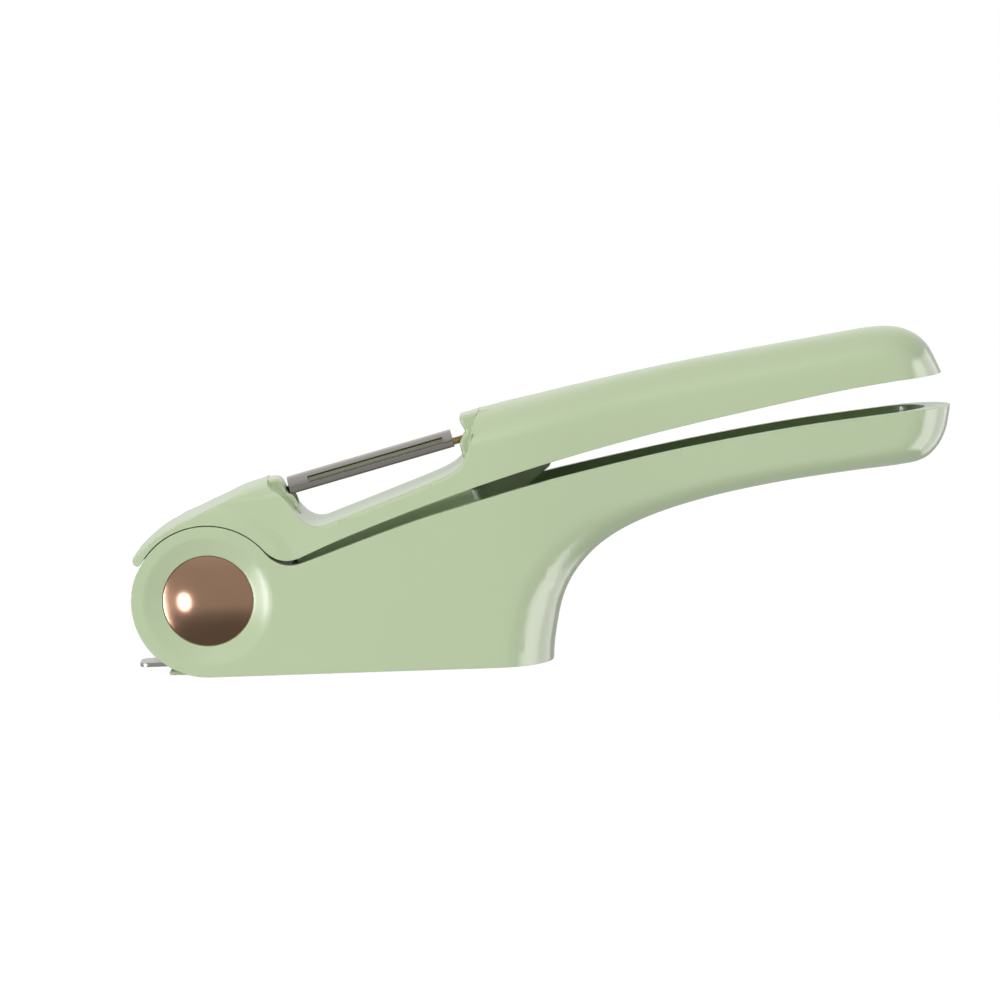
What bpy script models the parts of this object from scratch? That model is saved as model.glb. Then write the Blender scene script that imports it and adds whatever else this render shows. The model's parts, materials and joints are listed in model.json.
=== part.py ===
"""Garlic press with a swivelling peeler blade in its lever and a slide-out sieve plate in its base.

The press stands on its flat base. +X runs from the hinge to the ends of the two handles, +Y to the back
and +Z up. The origin is on the base, below the middle of the press's length.

Side views are drawn in millimetres from the hinge axis, x to the right and z up, as the press rests: the
lever stands REST_OPEN degrees above the position in which its lower edge would meet the body's rim,
because the plunger already rests on the sieve plate there.
"""

import math

import bmesh
import bpy
from mathutils import Matrix, Vector

MM = 0.001

# Driving dimensions, in millimetres and degrees
LENGTH = 205.0
HEAD_RADIUS = 18.9
BODY_HALF = 14.0
HANDLE_HALF = 11.0
REST_OPEN = 2.46
WALL = 2.2
GAP = 0.3
BASE = -HEAD_RADIUS

# The width narrows smoothly from the body to the handles between these places
TAPER_START = 72.0
TAPER_END = 118.0
TAPER_CUTS = (77.0, 83.0, 89.0, 95.0, 101.0, 107.0, 113.0)

ROUND_STEPS = 4
CURVE_STEPS = 3

# Hinge
DRUM_RADIUS = 13.8
DRUM_HALF = 6.9
DRUM_CLEARANCE = 0.4
SLOT_HALF = 8.2
SLOT_START = 39.0
SLOT_END = 213.0
COLLAR_RADIUS = 18.7
HOOD_INNER = HEAD_RADIUS + GAP
HOOD_OUTER = 20.8
HOOD_FLARE = 0.55
LIP_ANGLE = 150.2
VALLEY_ANGLE = 37.5
VALLEY_RADIUS = 7.85
VALLEY_END = 288.8
AXLE_RADIUS = 4.0
AXLE_BORE = 2.6
CAP_RADIUS = 11.0
CAP_FLOOR = 10.4
CAP_DOME = 1.94
CAP_STEM_END = 3.0
DISH_RADIUS = 15.9
DISH_DEPTH = 1.7
WASHER_RADIUS = 12.0
WASHER_FACES = (7.25, 7.9)
BUSH_RADIUS = 5.7
BUSH_START = 0.4
BUSH_BORE = 6.0
FLANGE_RADIUS = 8.0
FLANGE_START = 5.9
FLANGE_BORE = 8.4
FLANGE_SEAT = 5.6

# Press chamber, bounded by arcs about the hinge axis so that the swinging plunger clears its ends
PLUNGER_FRONT = 24.2
PLUNGER_REAR = 72.3
PLUNGER_REAR_TOP = 20.9
PLUNGER_FRONT_TOP = 21.5
PLUNGER_ROUND = 3.0
PLUNGER_HALF = 10.1
PLUNGER_GAP = 0.4
PLUNGER_HOLLOW_HALF = 8.1
TAIL_HALF = 5.0
LINER_WALL = 1.0
LINER_HALF = PLUNGER_HALF + PLUNGER_GAP + LINER_WALL
LINER_DROP = 1.2
REAR_WALL_TOP = 20.6
POCKET_HALF = 9.5

# Sieve plate and the stack that rests on it
PLATE_THICK = 1.0
PLATE_BOTTOM = BASE + 1.7
PLATE_TOP = PLATE_BOTTOM + PLATE_THICK
PLATE_HALF = 10.5
PLATE_END = 73.0
PLATE_CORNER = 1.0
TAB_HALF = 4.5
TAB_END = -18.3
TAB_CORNER = 2.2
SHOULDER = -4.0
SHOULDER_SLOPE = 3.0
HOLE_RADIUS = 1.05
HOLE_ROWS = 5
HOLE_COLUMNS = 13
HOLE_PITCH = 3.6
WINDOW = (19.5, 70.5)
WINDOW_HALF = 9.3
LIP_HALF = PLATE_HALF + 0.8
PRESS_PLATE_BOTTOM = PLATE_TOP + GAP
PRESS_PLATE_TOP = PRESS_PLATE_BOTTOM + PLATE_THICK
PRESS_PLATE_ENDS = (19.4, 69.4)
PRESS_PLATE_HALF = PLUNGER_HALF - 0.1
PRESS_PLATE_CORNER = 2.5
PLUNGER_BOTTOM = PRESS_PLATE_TOP + GAP

# Countersunk screws of the press plate, and the screws that hold the plunger to the lever
PLATE_SCREWS = [(x, y) for x in (23.6, 66.4) for y in (-6.4, 6.4)]
PLATE_SCREW_RADIUS = 1.0
PLATE_SCREW_HEAD = 1.9
PLATE_SCREW_END = 4.6
PLATE_SCREW_BORE = 1.2
PLATE_SCREW_BORE_END = 5.0
COUNTERSINK = (2.3, 1.3)
SINK_DEPTH = 0.05
LEVER_SCREWS = ((30.5, 13.4), (59.5, 23.6))
SCREW_RADIUS = 1.4
SCREW_HEAD_RADIUS = 2.7
SCREW_HEAD_HEIGHT = 1.8
SCREW_CHAMFER = 0.5
SCREW_SEAT = 3.0
SCREW_REACH = 3.2
SCREW_BORE = 1.7
SCREW_PASSAGE = 1.8
SCREW_WELL = 3.1

# Peeler blade, laid out along its own axis from the front pin hole to the rear one
BLADE_FRONT = (19.9, 25.7)
BLADE_TILT = 14.4
BLADE_SPAN = 45.9
BLADE_START = 0.9
BLADE_LENGTH = 42.5
BLADE_RADIUS = 3.5
BLADE_THICK = 0.5
BLADE_NEAR = 44.0
BLADE_FAR = 133.0
BLADE_DROP = 0.7
BLADE_LEAN = 58.0
BLADE_SLOT = (6.0, 41.0)
BLADE_SLOT_HALF = 0.62
BLADE_END_WALL = 0.8
BLADE_EYE = 1.6
BLADE_SWEEP = 4.35
BLADE_SWEEP_END = 6.0
PIN_RADIUS = 0.9
PIN_BORE = PIN_RADIUS + 0.2
PIN_HEAD = 1.7
PIN_HEAD_HEIGHT = 0.6
PIN_REACH = 4.3
PIN_HOLE_DEPTH = 3.4
RIB_HALF = 5.2
PAST = 5.0

GREEN = (0.51, 0.62, 0.40)
COPPER = (0.53, 0.33, 0.22)
STEEL = (0.62, 0.61, 0.60)
NYLON = (0.80, 0.79, 0.74)


# ---------------------------------------------------------------- curves of the side view

def arc(centre, radius, start, end, steps):
    """Points on a circle, from one angle to another in degrees."""
    points = []
    for i in range(steps + 1):
        angle = math.radians(start + (end - start) * i / steps)
        points.append((centre[0] + radius * math.cos(angle), centre[1] + radius * math.sin(angle)))
    return points


def smooth(rows, steps=CURVE_STEPS):
    """A Catmull-Rom curve through rows of numbers, with this many steps between two rows."""
    curve = []
    last = len(rows) - 1
    for i in range(last):
        before, start, end, after = (rows[min(max(i + k, 0), last)] for k in (-1, 0, 1, 2))
        for k in range(steps):
            t = k / steps
            curve.append(tuple(
                b + 0.5 * t * ((c - a) + t * (2 * a - 5 * b + 4 * c - d + t * (3 * (b - c) + d - a)))
                for a, b, c, d in zip(before, start, end, after)))
    curve.append(tuple(rows[-1]))
    return curve


def smoothstep(low, high, value):
    """0 below low, 1 above high, and a smooth rise between them."""
    t = min(max((value - low) / (high - low), 0.0), 1.0)
    return t * t * (3 - 2 * t)


def turned_about_hinge(points, degrees):
    """Points of the side view, swung about the hinge axis."""
    cos, sin = math.cos(math.radians(degrees)), math.sin(math.radians(degrees))
    return [(x * cos - z * sin, x * sin + z * cos) for x, z in points]


def lowered(points, distance):
    """A curve that runs to the right, moved down square to itself."""
    moved = []
    for i, (x, z) in enumerate(points):
        ahead, behind = points[min(i + 1, len(points) - 1)], points[max(i - 1, 0)]
        along = Vector((ahead[0] - behind[0], ahead[1] - behind[1])).normalized()
        moved.append((x + along.y * distance, z - along.x * distance))
    return moved


VALLEY_CENTRE = tuple((COLLAR_RADIUS + VALLEY_RADIUS) * part(math.radians(VALLEY_ANGLE))
                      for part in (math.cos, math.sin))
RIM_ROWS = (arc(VALLEY_CENTRE, VALLEY_RADIUS, VALLEY_END, VALLEY_END, 1)[:1]
            + [(48.3, 17.25), (66.0, 22.3), (83.0, 26.75), (108.0, 31.95), (128.0, 35.5), (150.0, 38.65),
               (175.1, 41.25)])
RIM_END = (186.1, 41.9)
LEVER_ROWS = (turned_about_hinge(arc(VALLEY_CENTRE, VALLEY_RADIUS - GAP, VALLEY_END, VALLEY_END, 1)[:1],
                                 REST_OPEN)
              + [(33.5, 14.45), (48.7, 20.05), (58.9, 23.55), (69.0, 26.85), (79.1, 29.85), (87.65, 32.15),
                 (99.8, 35.15), (111.9, 37.9), (124.0, 40.45), (136.0, 42.8), (148.1, 45.1), (160.2, 47.2),
                 (172.4, 48.9)])


def rim():
    """The body's rim from the valley behind the head to the end of the lower handle's flat side."""
    return smooth(RIM_ROWS, 4)


def lever_edge():
    """The lever's lower edge, at rest."""
    return smooth(LEVER_ROWS, 2)


# ---------------------------------------------------------------- mesh builders

def taper(x):
    """The share of the body's width that is left at x."""
    return 1 - (1 - HANDLE_HALF / BODY_HALF) * smoothstep(TAPER_START, TAPER_END, x)


def tidy(bm):
    """Merges doubled points, narrows the mesh towards the handles and turns its faces outwards."""
    bmesh.ops.remove_doubles(bm, verts=bm.verts, dist=1e-4)
    bmesh.ops.dissolve_degenerate(bm, dist=1e-4, edges=bm.edges)
    for x in TAPER_CUTS:
        bmesh.ops.bisect_plane(bm, geom=bm.verts[:] + bm.edges[:] + bm.faces[:], dist=1e-3,
                               plane_co=(x, 0, 0), plane_no=(1, 0, 0))
    for vert in bm.verts:
        vert.co.y *= taper(vert.co.x)
    bmesh.ops.triangulate(bm, faces=bm.faces)
    bmesh.ops.recalc_face_normals(bm, faces=bm.faces)
    return bm


def slab(rows, half_width, steps=ROUND_STEPS):
    """A side outline grown to half_width on each side of the middle plane.

    A row is (x, z) for a square edge, or (x, z, flat_x, flat_z, depth) for a rounded one: from (x, z) the
    surface curves over a quarter of an ellipse, depth wide, to the flat side face at (flat_x, flat_z).
    """
    rows = [row if len(row) == 5 else (*row, *row, 0.0) for row in rows]
    angles = [math.pi / 2 * k / steps for k in range(steps + 1)]
    bm = bmesh.new()
    rings = []
    for side, sweep in ((-1, angles[::-1]), (1, angles)):
        for angle in sweep:
            pull, rise = 1 - math.cos(angle), 1 - math.sin(angle)
            rings.append([bm.verts.new((x + (flat_x - x) * pull,
                                        side * (half_width - min(depth, half_width) * rise),
                                        z + (flat_z - z) * pull))
                          for x, z, flat_x, flat_z, depth in rows])
    for near, far in zip(rings, rings[1:]):
        for i, vert in enumerate(near):
            bm.faces.new((near[i - 1], vert, far[i], far[i - 1]))
    bm.faces.new(rings[0])
    bm.faces.new(rings[-1][::-1])
    return tidy(bm)


def turned(profile, segments=32, place=None):
    """A closed profile of (radius, along) pairs, turned about its axis.

    The axis is the Y axis through the hinge, unless place carries +Z somewhere else.
    """
    bm = bmesh.new()
    rings = []
    for radius, along in profile:
        count = segments if radius > 0 else 1
        rings.append([bm.verts.new((radius * math.cos(2 * math.pi * k / segments),
                                    radius * math.sin(2 * math.pi * k / segments), along))
                      for k in range(count)])
    pairs = zip(rings, rings[1:] + rings[:1])
    for first, second in pairs:
        for k in range(segments if max(len(first), len(second)) > 1 else 0):
            corners = [first[k % len(first)], first[(k + 1) % len(first)],
                       second[(k + 1) % len(second)], second[k % len(second)]]
            distinct = list(dict.fromkeys(corners))
            if len(distinct) > 2:
                bm.faces.new(distinct)
    bm.transform(place or Matrix.Rotation(math.radians(-90), 4, "X"))
    bmesh.ops.triangulate(bm, faces=bm.faces)
    bmesh.ops.recalc_face_normals(bm, faces=bm.faces)
    return bm


def merged(*meshes):
    """Several meshes as the separate bodies of one."""
    whole = bmesh.new()
    for bm in meshes:
        piece = bpy.data.meshes.new("piece")
        bm.to_mesh(piece)
        whole.from_mesh(piece)
        bpy.data.meshes.remove(piece)
    return whole


def block(low, high):
    """A box between two corners."""
    (x0, y0, z0), (x1, y1, z1) = low, high
    bm = bmesh.new()
    bmesh.ops.create_cube(bm, size=1.0)
    bm.transform(Matrix.Translation(((x0 + x1) / 2, (y0 + y1) / 2, (z0 + z1) / 2))
                 @ Matrix.Diagonal((x1 - x0, y1 - y0, z1 - z0, 1)))
    return bm


def plan_plate(rows, bottom, top):
    """A plate between two heights. rows go round its plan as (x, y)."""
    bm = bmesh.new()
    low = [bm.verts.new((x, y, bottom)) for x, y in rows]
    high = [bm.verts.new((x, y, top)) for x, y in rows]
    for i in range(len(rows)):
        bm.faces.new((low[i - 1], low[i], high[i], high[i - 1]))
    bm.faces.new(low[::-1])
    bm.faces.new(high)
    bmesh.ops.recalc_face_normals(bm, faces=bm.faces)
    return bm


# ---------------------------------------------------------------- objects and materials

def material(name, colour, metallic, roughness):
    """A Principled material, made once for each name."""
    made = bpy.data.materials.get(name)
    if made is None:
        made = bpy.data.materials.new(name)
        made.use_nodes = True
        shader = made.node_tree.nodes["Principled BSDF"]
        shader.inputs["Base Color"].default_value = (*colour, 1)
        shader.inputs["Metallic"].default_value = metallic
        shader.inputs["Roughness"].default_value = roughness
    return made


def green():
    return material("green_satin_plastic", GREEN, 0.0, 0.38)


def copper():
    return material("copper_finish", COPPER, 1.0, 0.22)


def steel():
    return material("stainless_steel", STEEL, 1.0, 0.25)


def nylon():
    return material("nylon", NYLON, 0.0, 0.45)


def place_object(name, bm, finish, parent):
    """Makes one named object from a mesh in millimetres, on its parent's axis."""
    bm.transform(Matrix.Scale(MM, 4))
    mesh = bpy.data.meshes.new(name)
    bm.to_mesh(mesh)
    bm.free()
    mesh.materials.append(finish)
    mesh.shade_smooth()
    mesh.set_sharp_from_angle(angle=math.radians(35))
    obj = bpy.data.objects.new(name, mesh)
    bpy.context.scene.collection.objects.link(obj)
    obj.parent = parent
    return obj


def shape(target, bm, operation="DIFFERENCE"):
    """Cuts a mesh out of an object, or joins it on, with a Boolean whose second object isn't rendered."""
    number = len(target.modifiers)
    cutter = place_object(f"{target.name}_{operation.lower()}_{number}", bm, target.active_material,
                          target.parent)
    cutter.hide_render = True
    cutter.display_type = "WIRE"
    modifier = target.modifiers.new(cutter.name, "BOOLEAN")
    modifier.operation = operation
    modifier.solver = "EXACT"
    modifier.object = cutter


def axis_empty(name, parent=None, place=Matrix.Identity(4)):
    """An empty on a joint's axis, placed in its parent's frame."""
    empty = bpy.data.objects.new(name, None)
    bpy.context.scene.collection.objects.link(empty)
    empty.empty_display_size = 0.01
    empty.parent = parent
    empty.matrix_local = place
    return empty


# ---------------------------------------------------------------- body

def body_outline():
    """The body and lower handle: base, rounded back, underside, handle end, rim, valley and head."""
    back = smooth([
        (85.4, BASE, 71.4, BASE, 14.0),
        (86.0, -13.0, 72.0, -13.0, 14.0),
        (88.3, -2.9, 75.5, -1.0, 13.0),
        (92.6, 4.9, 83.0, 10.0, 11.0),
        (99.5, 11.4, 93.5, 18.3, 9.5),
        (110.0, 16.6, 107.6, 22.4, 9.2),
        (125.0, 20.9, 123.4, 26.6, 9.4),
        (142.6, 24.1, 141.5, 29.6, 9.6),
        (160.0, 26.2, 159.3, 31.6, 9.8),
        (172.5, 27.3, 170.6, 33.2, 11.0),
        (178.5, 28.4, 172.4, 34.4, 12.0),
        (182.3, 31.2, 173.7, 37.0, 13.0),
        (184.8, 35.6, 174.6, 38.8, 14.0),
        (*RIM_END, *RIM_ROWS[-1], 14.0),
    ])
    valley = arc(VALLEY_CENTRE, VALLEY_RADIUS, VALLEY_END, 180 + VALLEY_ANGLE, 8)
    head = [arc((0, 0), COLLAR_RADIUS + (HEAD_RADIUS - COLLAR_RADIUS) * smoothstep(150.0, 165.0, angle),
                angle, angle, 1)[0]
            for angle in [VALLEY_ANGLE + (270 - VALLEY_ANGLE) * i / 34 for i in range(1, 35)]]
    return back + rim()[::-1] + valley[1:] + head


def trough():
    """The hollow of the lower handle, open at the rim."""
    top = 60.0
    floor = smooth([
        (77.0, -1.0, 77.0, 4.0, 10.0),
        (86.0, 1.5, 83.0, 8.0, 10.0),
        (91.2, 7.2, 87.5, 12.0, 9.5),
        (98.4, 13.6, 94.5, 19.0, 8.5),
        (109.4, 18.9, 107.0, 24.9, 8.0),
        (124.7, 23.3, 123.0, 29.5, 8.2),
        (142.3, 26.5, 141.0, 32.7, 8.6),
        (159.8, 28.6, 158.8, 34.8, 8.8),
        (170.0, 29.6, 167.0, 36.0, 9.4),
        (174.6, 30.8, 168.4, 37.0, 10.2),
        (177.4, 33.4, 169.2, 38.6, 11.0),
        (179.0, 37.2, 169.7, 40.6, 12.0),
        (179.8, 42.2, 170.0, 42.2, 12.0),
    ])
    return slab([*floor, (179.8, top, 170.0, top, 12.0), (70.0, top), (70.0, REAR_WALL_TOP),
                 (77.0, REAR_WALL_TOP)], BODY_HALF - 2.0)


def back_pocket():
    """The hollow inside the body's rounded back, below the trough."""
    floor = BASE + WALL
    wall = smooth([(83.0, floor, 79.5, floor, 9.0), (83.6, -13.0, 80.0, -13.0, 9.0),
                   (86.0, -2.6, 82.0, -1.0, 9.0), (88.4, 2.5, 84.0, 5.0, 9.0)])
    return slab([(77.0, floor), *wall, (84.0, 8.0), (77.0, 8.0)], POCKET_HALF)


def chamber(front, rear, half_width, floor):
    """The space between two arcs about the hinge axis, open above the rim."""
    start = -math.degrees(math.asin(-floor / front))
    end = -math.degrees(math.asin(-floor / rear))
    return slab([*arc((0, 0), rear, end, 30, 12), *arc((0, 0), front, 45, start, 9)], half_width)


def drum_slot():
    """The slot between the head's cheeks in which the lever's drum and web swing."""
    depth = DRUM_RADIUS + DRUM_CLEARANCE
    return slab([*arc((0, 0), HEAD_RADIUS + PAST, SLOT_START, SLOT_END, 24),
                 *arc((0, 0), depth, SLOT_END, SLOT_START + 360, 32)], SLOT_HALF)


def cap_recess(side):
    """The dish around a hinge cap, the cap's flat seat and the axle's bore."""
    outside, inside = BODY_HALF + PAST, SLOT_HALF - 2
    rows = [(0.0, outside), (DISH_RADIUS, outside), (DISH_RADIUS, BODY_HALF),
            (DISH_RADIUS - 0.5, BODY_HALF - 0.2), (CAP_RADIUS + GAP, BODY_HALF - DISH_DEPTH),
            (CAP_RADIUS + GAP, CAP_FLOOR), (AXLE_RADIUS + GAP, CAP_FLOOR), (AXLE_RADIUS + GAP, inside),
            (0.0, inside)]
    return turned([(radius, side * along) for radius, along in rows], 48)


def make_body(frame):
    """The one-piece body and lower handle."""
    body = place_object("body_shell", slab(body_outline(), BODY_HALF), green(), frame)
    lip = slab([(-10.4, PLATE_BOTTOM - 0.6), (-10.1, BASE + 0.5), (-5.0, BASE + 0.4), (2.0, BASE + 0.1),
                (2.0, BASE + 1.5), (-10.1, PLATE_BOTTOM - GAP)], LIP_HALF)
    shape(body, lip, "UNION")
    shape(body, trough())
    shape(body, back_pocket())
    well = GAP + LINER_WALL + PLUNGER_GAP
    floor = PLATE_TOP + GAP - 0.1
    shape(body, chamber(PLUNGER_FRONT - well, PLUNGER_REAR + well, LINER_HALF + GAP, floor))
    shape(body, block((-HEAD_RADIUS - PAST, -PLATE_HALF - GAP, PLATE_BOTTOM - GAP),
                      (PLATE_END + GAP, PLATE_HALF + GAP, PLATE_TOP + GAP)))
    shape(body, block((WINDOW[0], -WINDOW_HALF, BASE - PAST), (WINDOW[1], WINDOW_HALF, PLATE_BOTTOM)))
    shape(body, drum_slot())
    for side in (-1, 1):
        shape(body, cap_recess(side))


def make_chamber_liner(frame):
    """The stainless sleeve that lines the press chamber, open above and below."""
    wall = LINER_WALL + PLUNGER_GAP
    floor = PLATE_TOP + 2 * GAP
    top = lowered(rim(), LINER_DROP)
    front, rear = PLUNGER_FRONT - wall, PLUNGER_REAR + wall
    upper = [point for point in top if 24.5 < point[0] < 62.0]
    rear_top = math.degrees(math.asin(REAR_WALL_TOP / rear))
    rows = [*arc((0, 0), rear, -math.degrees(math.asin(-floor / rear)), rear_top, 10),
            (upper[-1][0] + 1.0, REAR_WALL_TOP), *upper[::-1],
            *arc((0, 0), front, 17, -math.degrees(math.asin(-floor / front)), 7)]
    liner = place_object("chamber_liner", slab(rows, LINER_HALF), steel(), frame)
    shape(liner, chamber(PLUNGER_FRONT - PLUNGER_GAP, PLUNGER_REAR + PLUNGER_GAP,
                         PLUNGER_HALF + PLUNGER_GAP, floor - 2 * PLATE_THICK))


# ---------------------------------------------------------------- hinge

def make_hinge(frame, lever):
    """Axle tube, screwed-in copper caps, thrust washers, and the bushes in the lever's drum."""
    axle = [(AXLE_BORE, -CAP_FLOOR + GAP), (AXLE_RADIUS, -CAP_FLOOR + GAP), (AXLE_RADIUS, CAP_FLOOR - GAP),
            (AXLE_BORE, CAP_FLOOR - GAP)]
    place_object("hinge_axle", turned(axle, 32), steel(), frame)
    seat, rim_height = CAP_FLOOR + GAP, BODY_HALF - 0.02 - CAP_DOME
    stem = AXLE_BORE - GAP
    for side, label in ((-1, "near"), (1, "far")):
        cap = [(0.0, CAP_STEM_END), (stem, CAP_STEM_END), (stem, seat), (CAP_RADIUS, seat),
               (CAP_RADIUS, rim_height)]
        cap += [(CAP_RADIUS * share, rim_height + CAP_DOME * (1 - share * share))
                for share in (0.85, 0.68, 0.5, 0.3, 0.0)]
        place_object(f"hinge_cap_{label}", turned([(r, side * y) for r, y in cap], 40), copper(), frame)
        inner, outer = WASHER_FACES
        washer = [(AXLE_RADIUS + GAP, inner), (WASHER_RADIUS, inner), (WASHER_RADIUS, outer),
                  (AXLE_RADIUS + GAP, outer)]
        washer = turned([(r, side * y) for r, y in washer], 32)
        place_object(f"thrust_washer_{label}", washer, nylon(), frame)
        bush = [(AXLE_RADIUS + GAP, BUSH_START), (BUSH_RADIUS, BUSH_START), (BUSH_RADIUS, FLANGE_START),
                (FLANGE_RADIUS, FLANGE_START), (FLANGE_RADIUS, DRUM_HALF), (AXLE_RADIUS + GAP, DRUM_HALF)]
        place_object(f"hinge_bush_{label}", turned([(r, side * y) for r, y in bush], 32), nylon(), lever)


# ---------------------------------------------------------------- lever

def lever_outline():
    """The lever's side: hood over the head, lower edge, handle end and crowned top."""
    hood_arc = arc((0, 0), HOOD_INNER, LIP_ANGLE, VALLEY_ANGLE + REST_OPEN, 22)
    valley = turned_about_hinge(
        arc(VALLEY_CENTRE, VALLEY_RADIUS - GAP, 180 + VALLEY_ANGLE, VALLEY_END, 8), REST_OPEN)
    edge = lever_edge()
    handle_end = smooth([
        (184.0, 49.9, *edge[-1], 14.0),
        (182.3, 53.8, 173.0, 50.6, 14.0),
        (180.3, 57.3, 172.4, 51.8, 14.0),
        (177.1, 60.0, 171.0, 52.8, 14.0),
        (172.5, 61.6, 168.4, 53.4, 14.0),
        (166.0, 61.6, 164.0, 53.2, 14.0),
        (154.0, 59.9, 154.0, 51.4, 14.0),
        (139.0, 57.7, 139.5, 49.2, 14.0),
        (124.0, 55.5, 124.8, 47.0, 14.0),
        (109.0, 52.9, 110.0, 44.4, 14.0),
        (94.0, 50.0, 95.4, 41.5, 14.0),
        (82.0, 47.5, 83.6, 39.1, 14.0),
        (70.2, 44.9, 71.8, 36.6, 14.0),
        (40.0, 36.5, 40.0, 30.0, 14.0),
        (16.0, 29.6, 15.0, 24.4, 14.0),
    ], 2)
    hood = smooth([
        (13.8, 28.7, 13.2, 24.6, 14.0),
        (9.6, 27.2, 9.4, 24.6, 10.0),
        (5.0, 24.7, 5.1, 24.0, 2.4),
        (0.0, 22.4, 0.0, 22.1, 0.8),
        (-3.6, 21.25, -3.4, 20.5, 12.0),
        (-6.5, 20.2, -6.2, 19.35, 14.0),
    ])
    crown = []
    for i in range(9):
        angle = 113 + (LIP_ANGLE - 114.5) * i / 8
        radius = HOOD_OUTER + HOOD_FLARE * smoothstep(128.0, 150.0, angle)
        (x, z), (flat_x, flat_z) = (arc((0, 0), size, angle, angle, 1)[0] for size in (radius, radius - 0.8))
        crown.append((x, z, flat_x, flat_z, 14.0 - 9.0 * smoothstep(140.0, 149.0, angle)))
    lip = []
    for outer, inner, angle, depth in ((2.0, 1.2, LIP_ANGLE, 4.0), (1.3, 0.9, LIP_ANGLE + 1.3, 2.0)):
        lip.append((*arc((0, 0), HOOD_INNER + outer, angle, angle, 1)[0],
                    *arc((0, 0), HOOD_INNER + inner, angle - 0.6, angle - 0.6, 1)[0], depth))
    lip.append(arc((0, 0), HOOD_INNER + GAP, LIP_ANGLE + 0.9, LIP_ANGLE + 0.9, 1)[0])
    return hood_arc + valley[1:] + edge[1:] + handle_end + hood + crown + lip


def blade_notch():
    """The notch through the lever's top in which the blade sits."""
    floor = [(15.2, 29.6), (15.9, 27.9), (17.6, 26.6), (19.6, 25.2), (21.2, 23.1), (23.0, 20.6), (25.2, 18.6),
             (28.4, 17.8), (34.0, 19.6), (46.7, 24.2), (57.0, 28.0), (61.2, 29.9), (63.7, 31.8), (65.0, 34.2),
             (65.7, 36.2), (66.2, 38.4), (66.8, 40.6), (67.7, 42.8), (69.1, 45.4)]
    return slab([*smooth(floor, 2), (69.3, 60.0), (13.5, 60.0), (13.5, 40.0)], BODY_HALF + PAST)


def lever_hollow():
    """The hollow of the lever's handle, open at its lower edge."""
    low = 15.0
    ceiling = smooth([
        (181.6, 49.6, 170.6, 49.6, 12.0),
        (179.4, 54.6, 170.0, 50.4, 12.0),
        (176.0, 57.6, 168.8, 51.0, 12.0),
        (172.0, 58.9, 167.0, 51.2, 12.0),
        (165.0, 59.0, 163.4, 51.0, 12.0),
        (139.0, 55.1, 139.4, 47.0, 12.0),
        (109.0, 50.3, 110.0, 42.2, 12.0),
        (92.0, 47.0, 93.4, 39.0, 12.0),
    ])
    return slab([(181.6, low, 170.6, low, 12.0), *ceiling, (90.0, 40.0), (90.0, low)], BODY_HALF - WALL)


def front_rib():
    """The narrow rib at the notch's front end, which holds the blade's front pin."""
    rows = [
        (8.0, 25.4, 8.0, 24.4, 1.6),
        (10.4, 27.3, 10.4, 26.4, 1.6),
        (14.0, 28.4, 14.0, 27.5, 1.6),
        (17.2, 29.1, 17.0, 28.2, 1.6),
        (18.7, 28.5, 18.1, 27.8, 1.4),
        (19.6, 27.0, 18.9, 26.6, 1.2),
        (20.3, 25.6, 19.6, 25.1, 1.2),
        (21.6, 24.9, 20.9, 24.1, 1.2),
        (22.4, 23.6, 21.7, 23.2, 1.2),
        (23.2, 21.2, 22.5, 20.9, 1.2),
        (24.0, 19.0, 23.3, 18.7, 1.2),
    ]
    return slab([(20.0, 16.4), (8.0, 20.4), *rows], RIB_HALF, 2)


def rear_rib():
    """The narrow rib at the notch's rear end, which holds the blade's rear pin."""
    rows = [
        (74.0, 45.2, 74.0, 44.4, 1.8),
        (70.4, 44.8, 70.4, 44.0, 1.8),
        (66.4, 43.8, 66.5, 43.0, 1.8),
        (64.0, 43.1, 64.5, 42.4, 1.4),
        (63.8, 41.8, 64.6, 41.6, 1.2),
        (65.0, 39.2, 65.8, 39.1, 1.2),
        (64.3, 37.8, 65.1, 37.7, 1.2),
        (63.6, 36.4, 64.4, 36.2, 1.2),
        (64.0, 34.0, 64.8, 33.8, 1.2),
        (64.8, 31.4, 65.6, 31.0, 1.2),
    ]
    return slab([*rows, (70.0, 30.0), (76.0, 34.0)], RIB_HALF, 2)


def blade_matrix():
    """Carries +Z onto the peeler's axis, away from the front pin hole, with +X across the blade."""
    tilt = math.radians(BLADE_TILT)
    axis = Vector((math.cos(tilt), 0, math.sin(tilt)))
    up = Vector((-math.sin(tilt), 0, math.cos(tilt)))
    across = Vector((0, 1, 0))
    start = Vector((BLADE_FRONT[0], 0, BLADE_FRONT[1]))
    return Matrix((
        (across.x, up.x, axis.x, start.x),
        (across.y, up.y, axis.y, start.y),
        (across.z, up.z, axis.z, start.z),
        (0, 0, 0, 1),
    ))


def rod(radius, start, end, segments, place=None):
    """A cylinder from start to end along its axis."""
    return turned([(0, start), (radius, start), (radius, end), (0, end)], segments, place)


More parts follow.
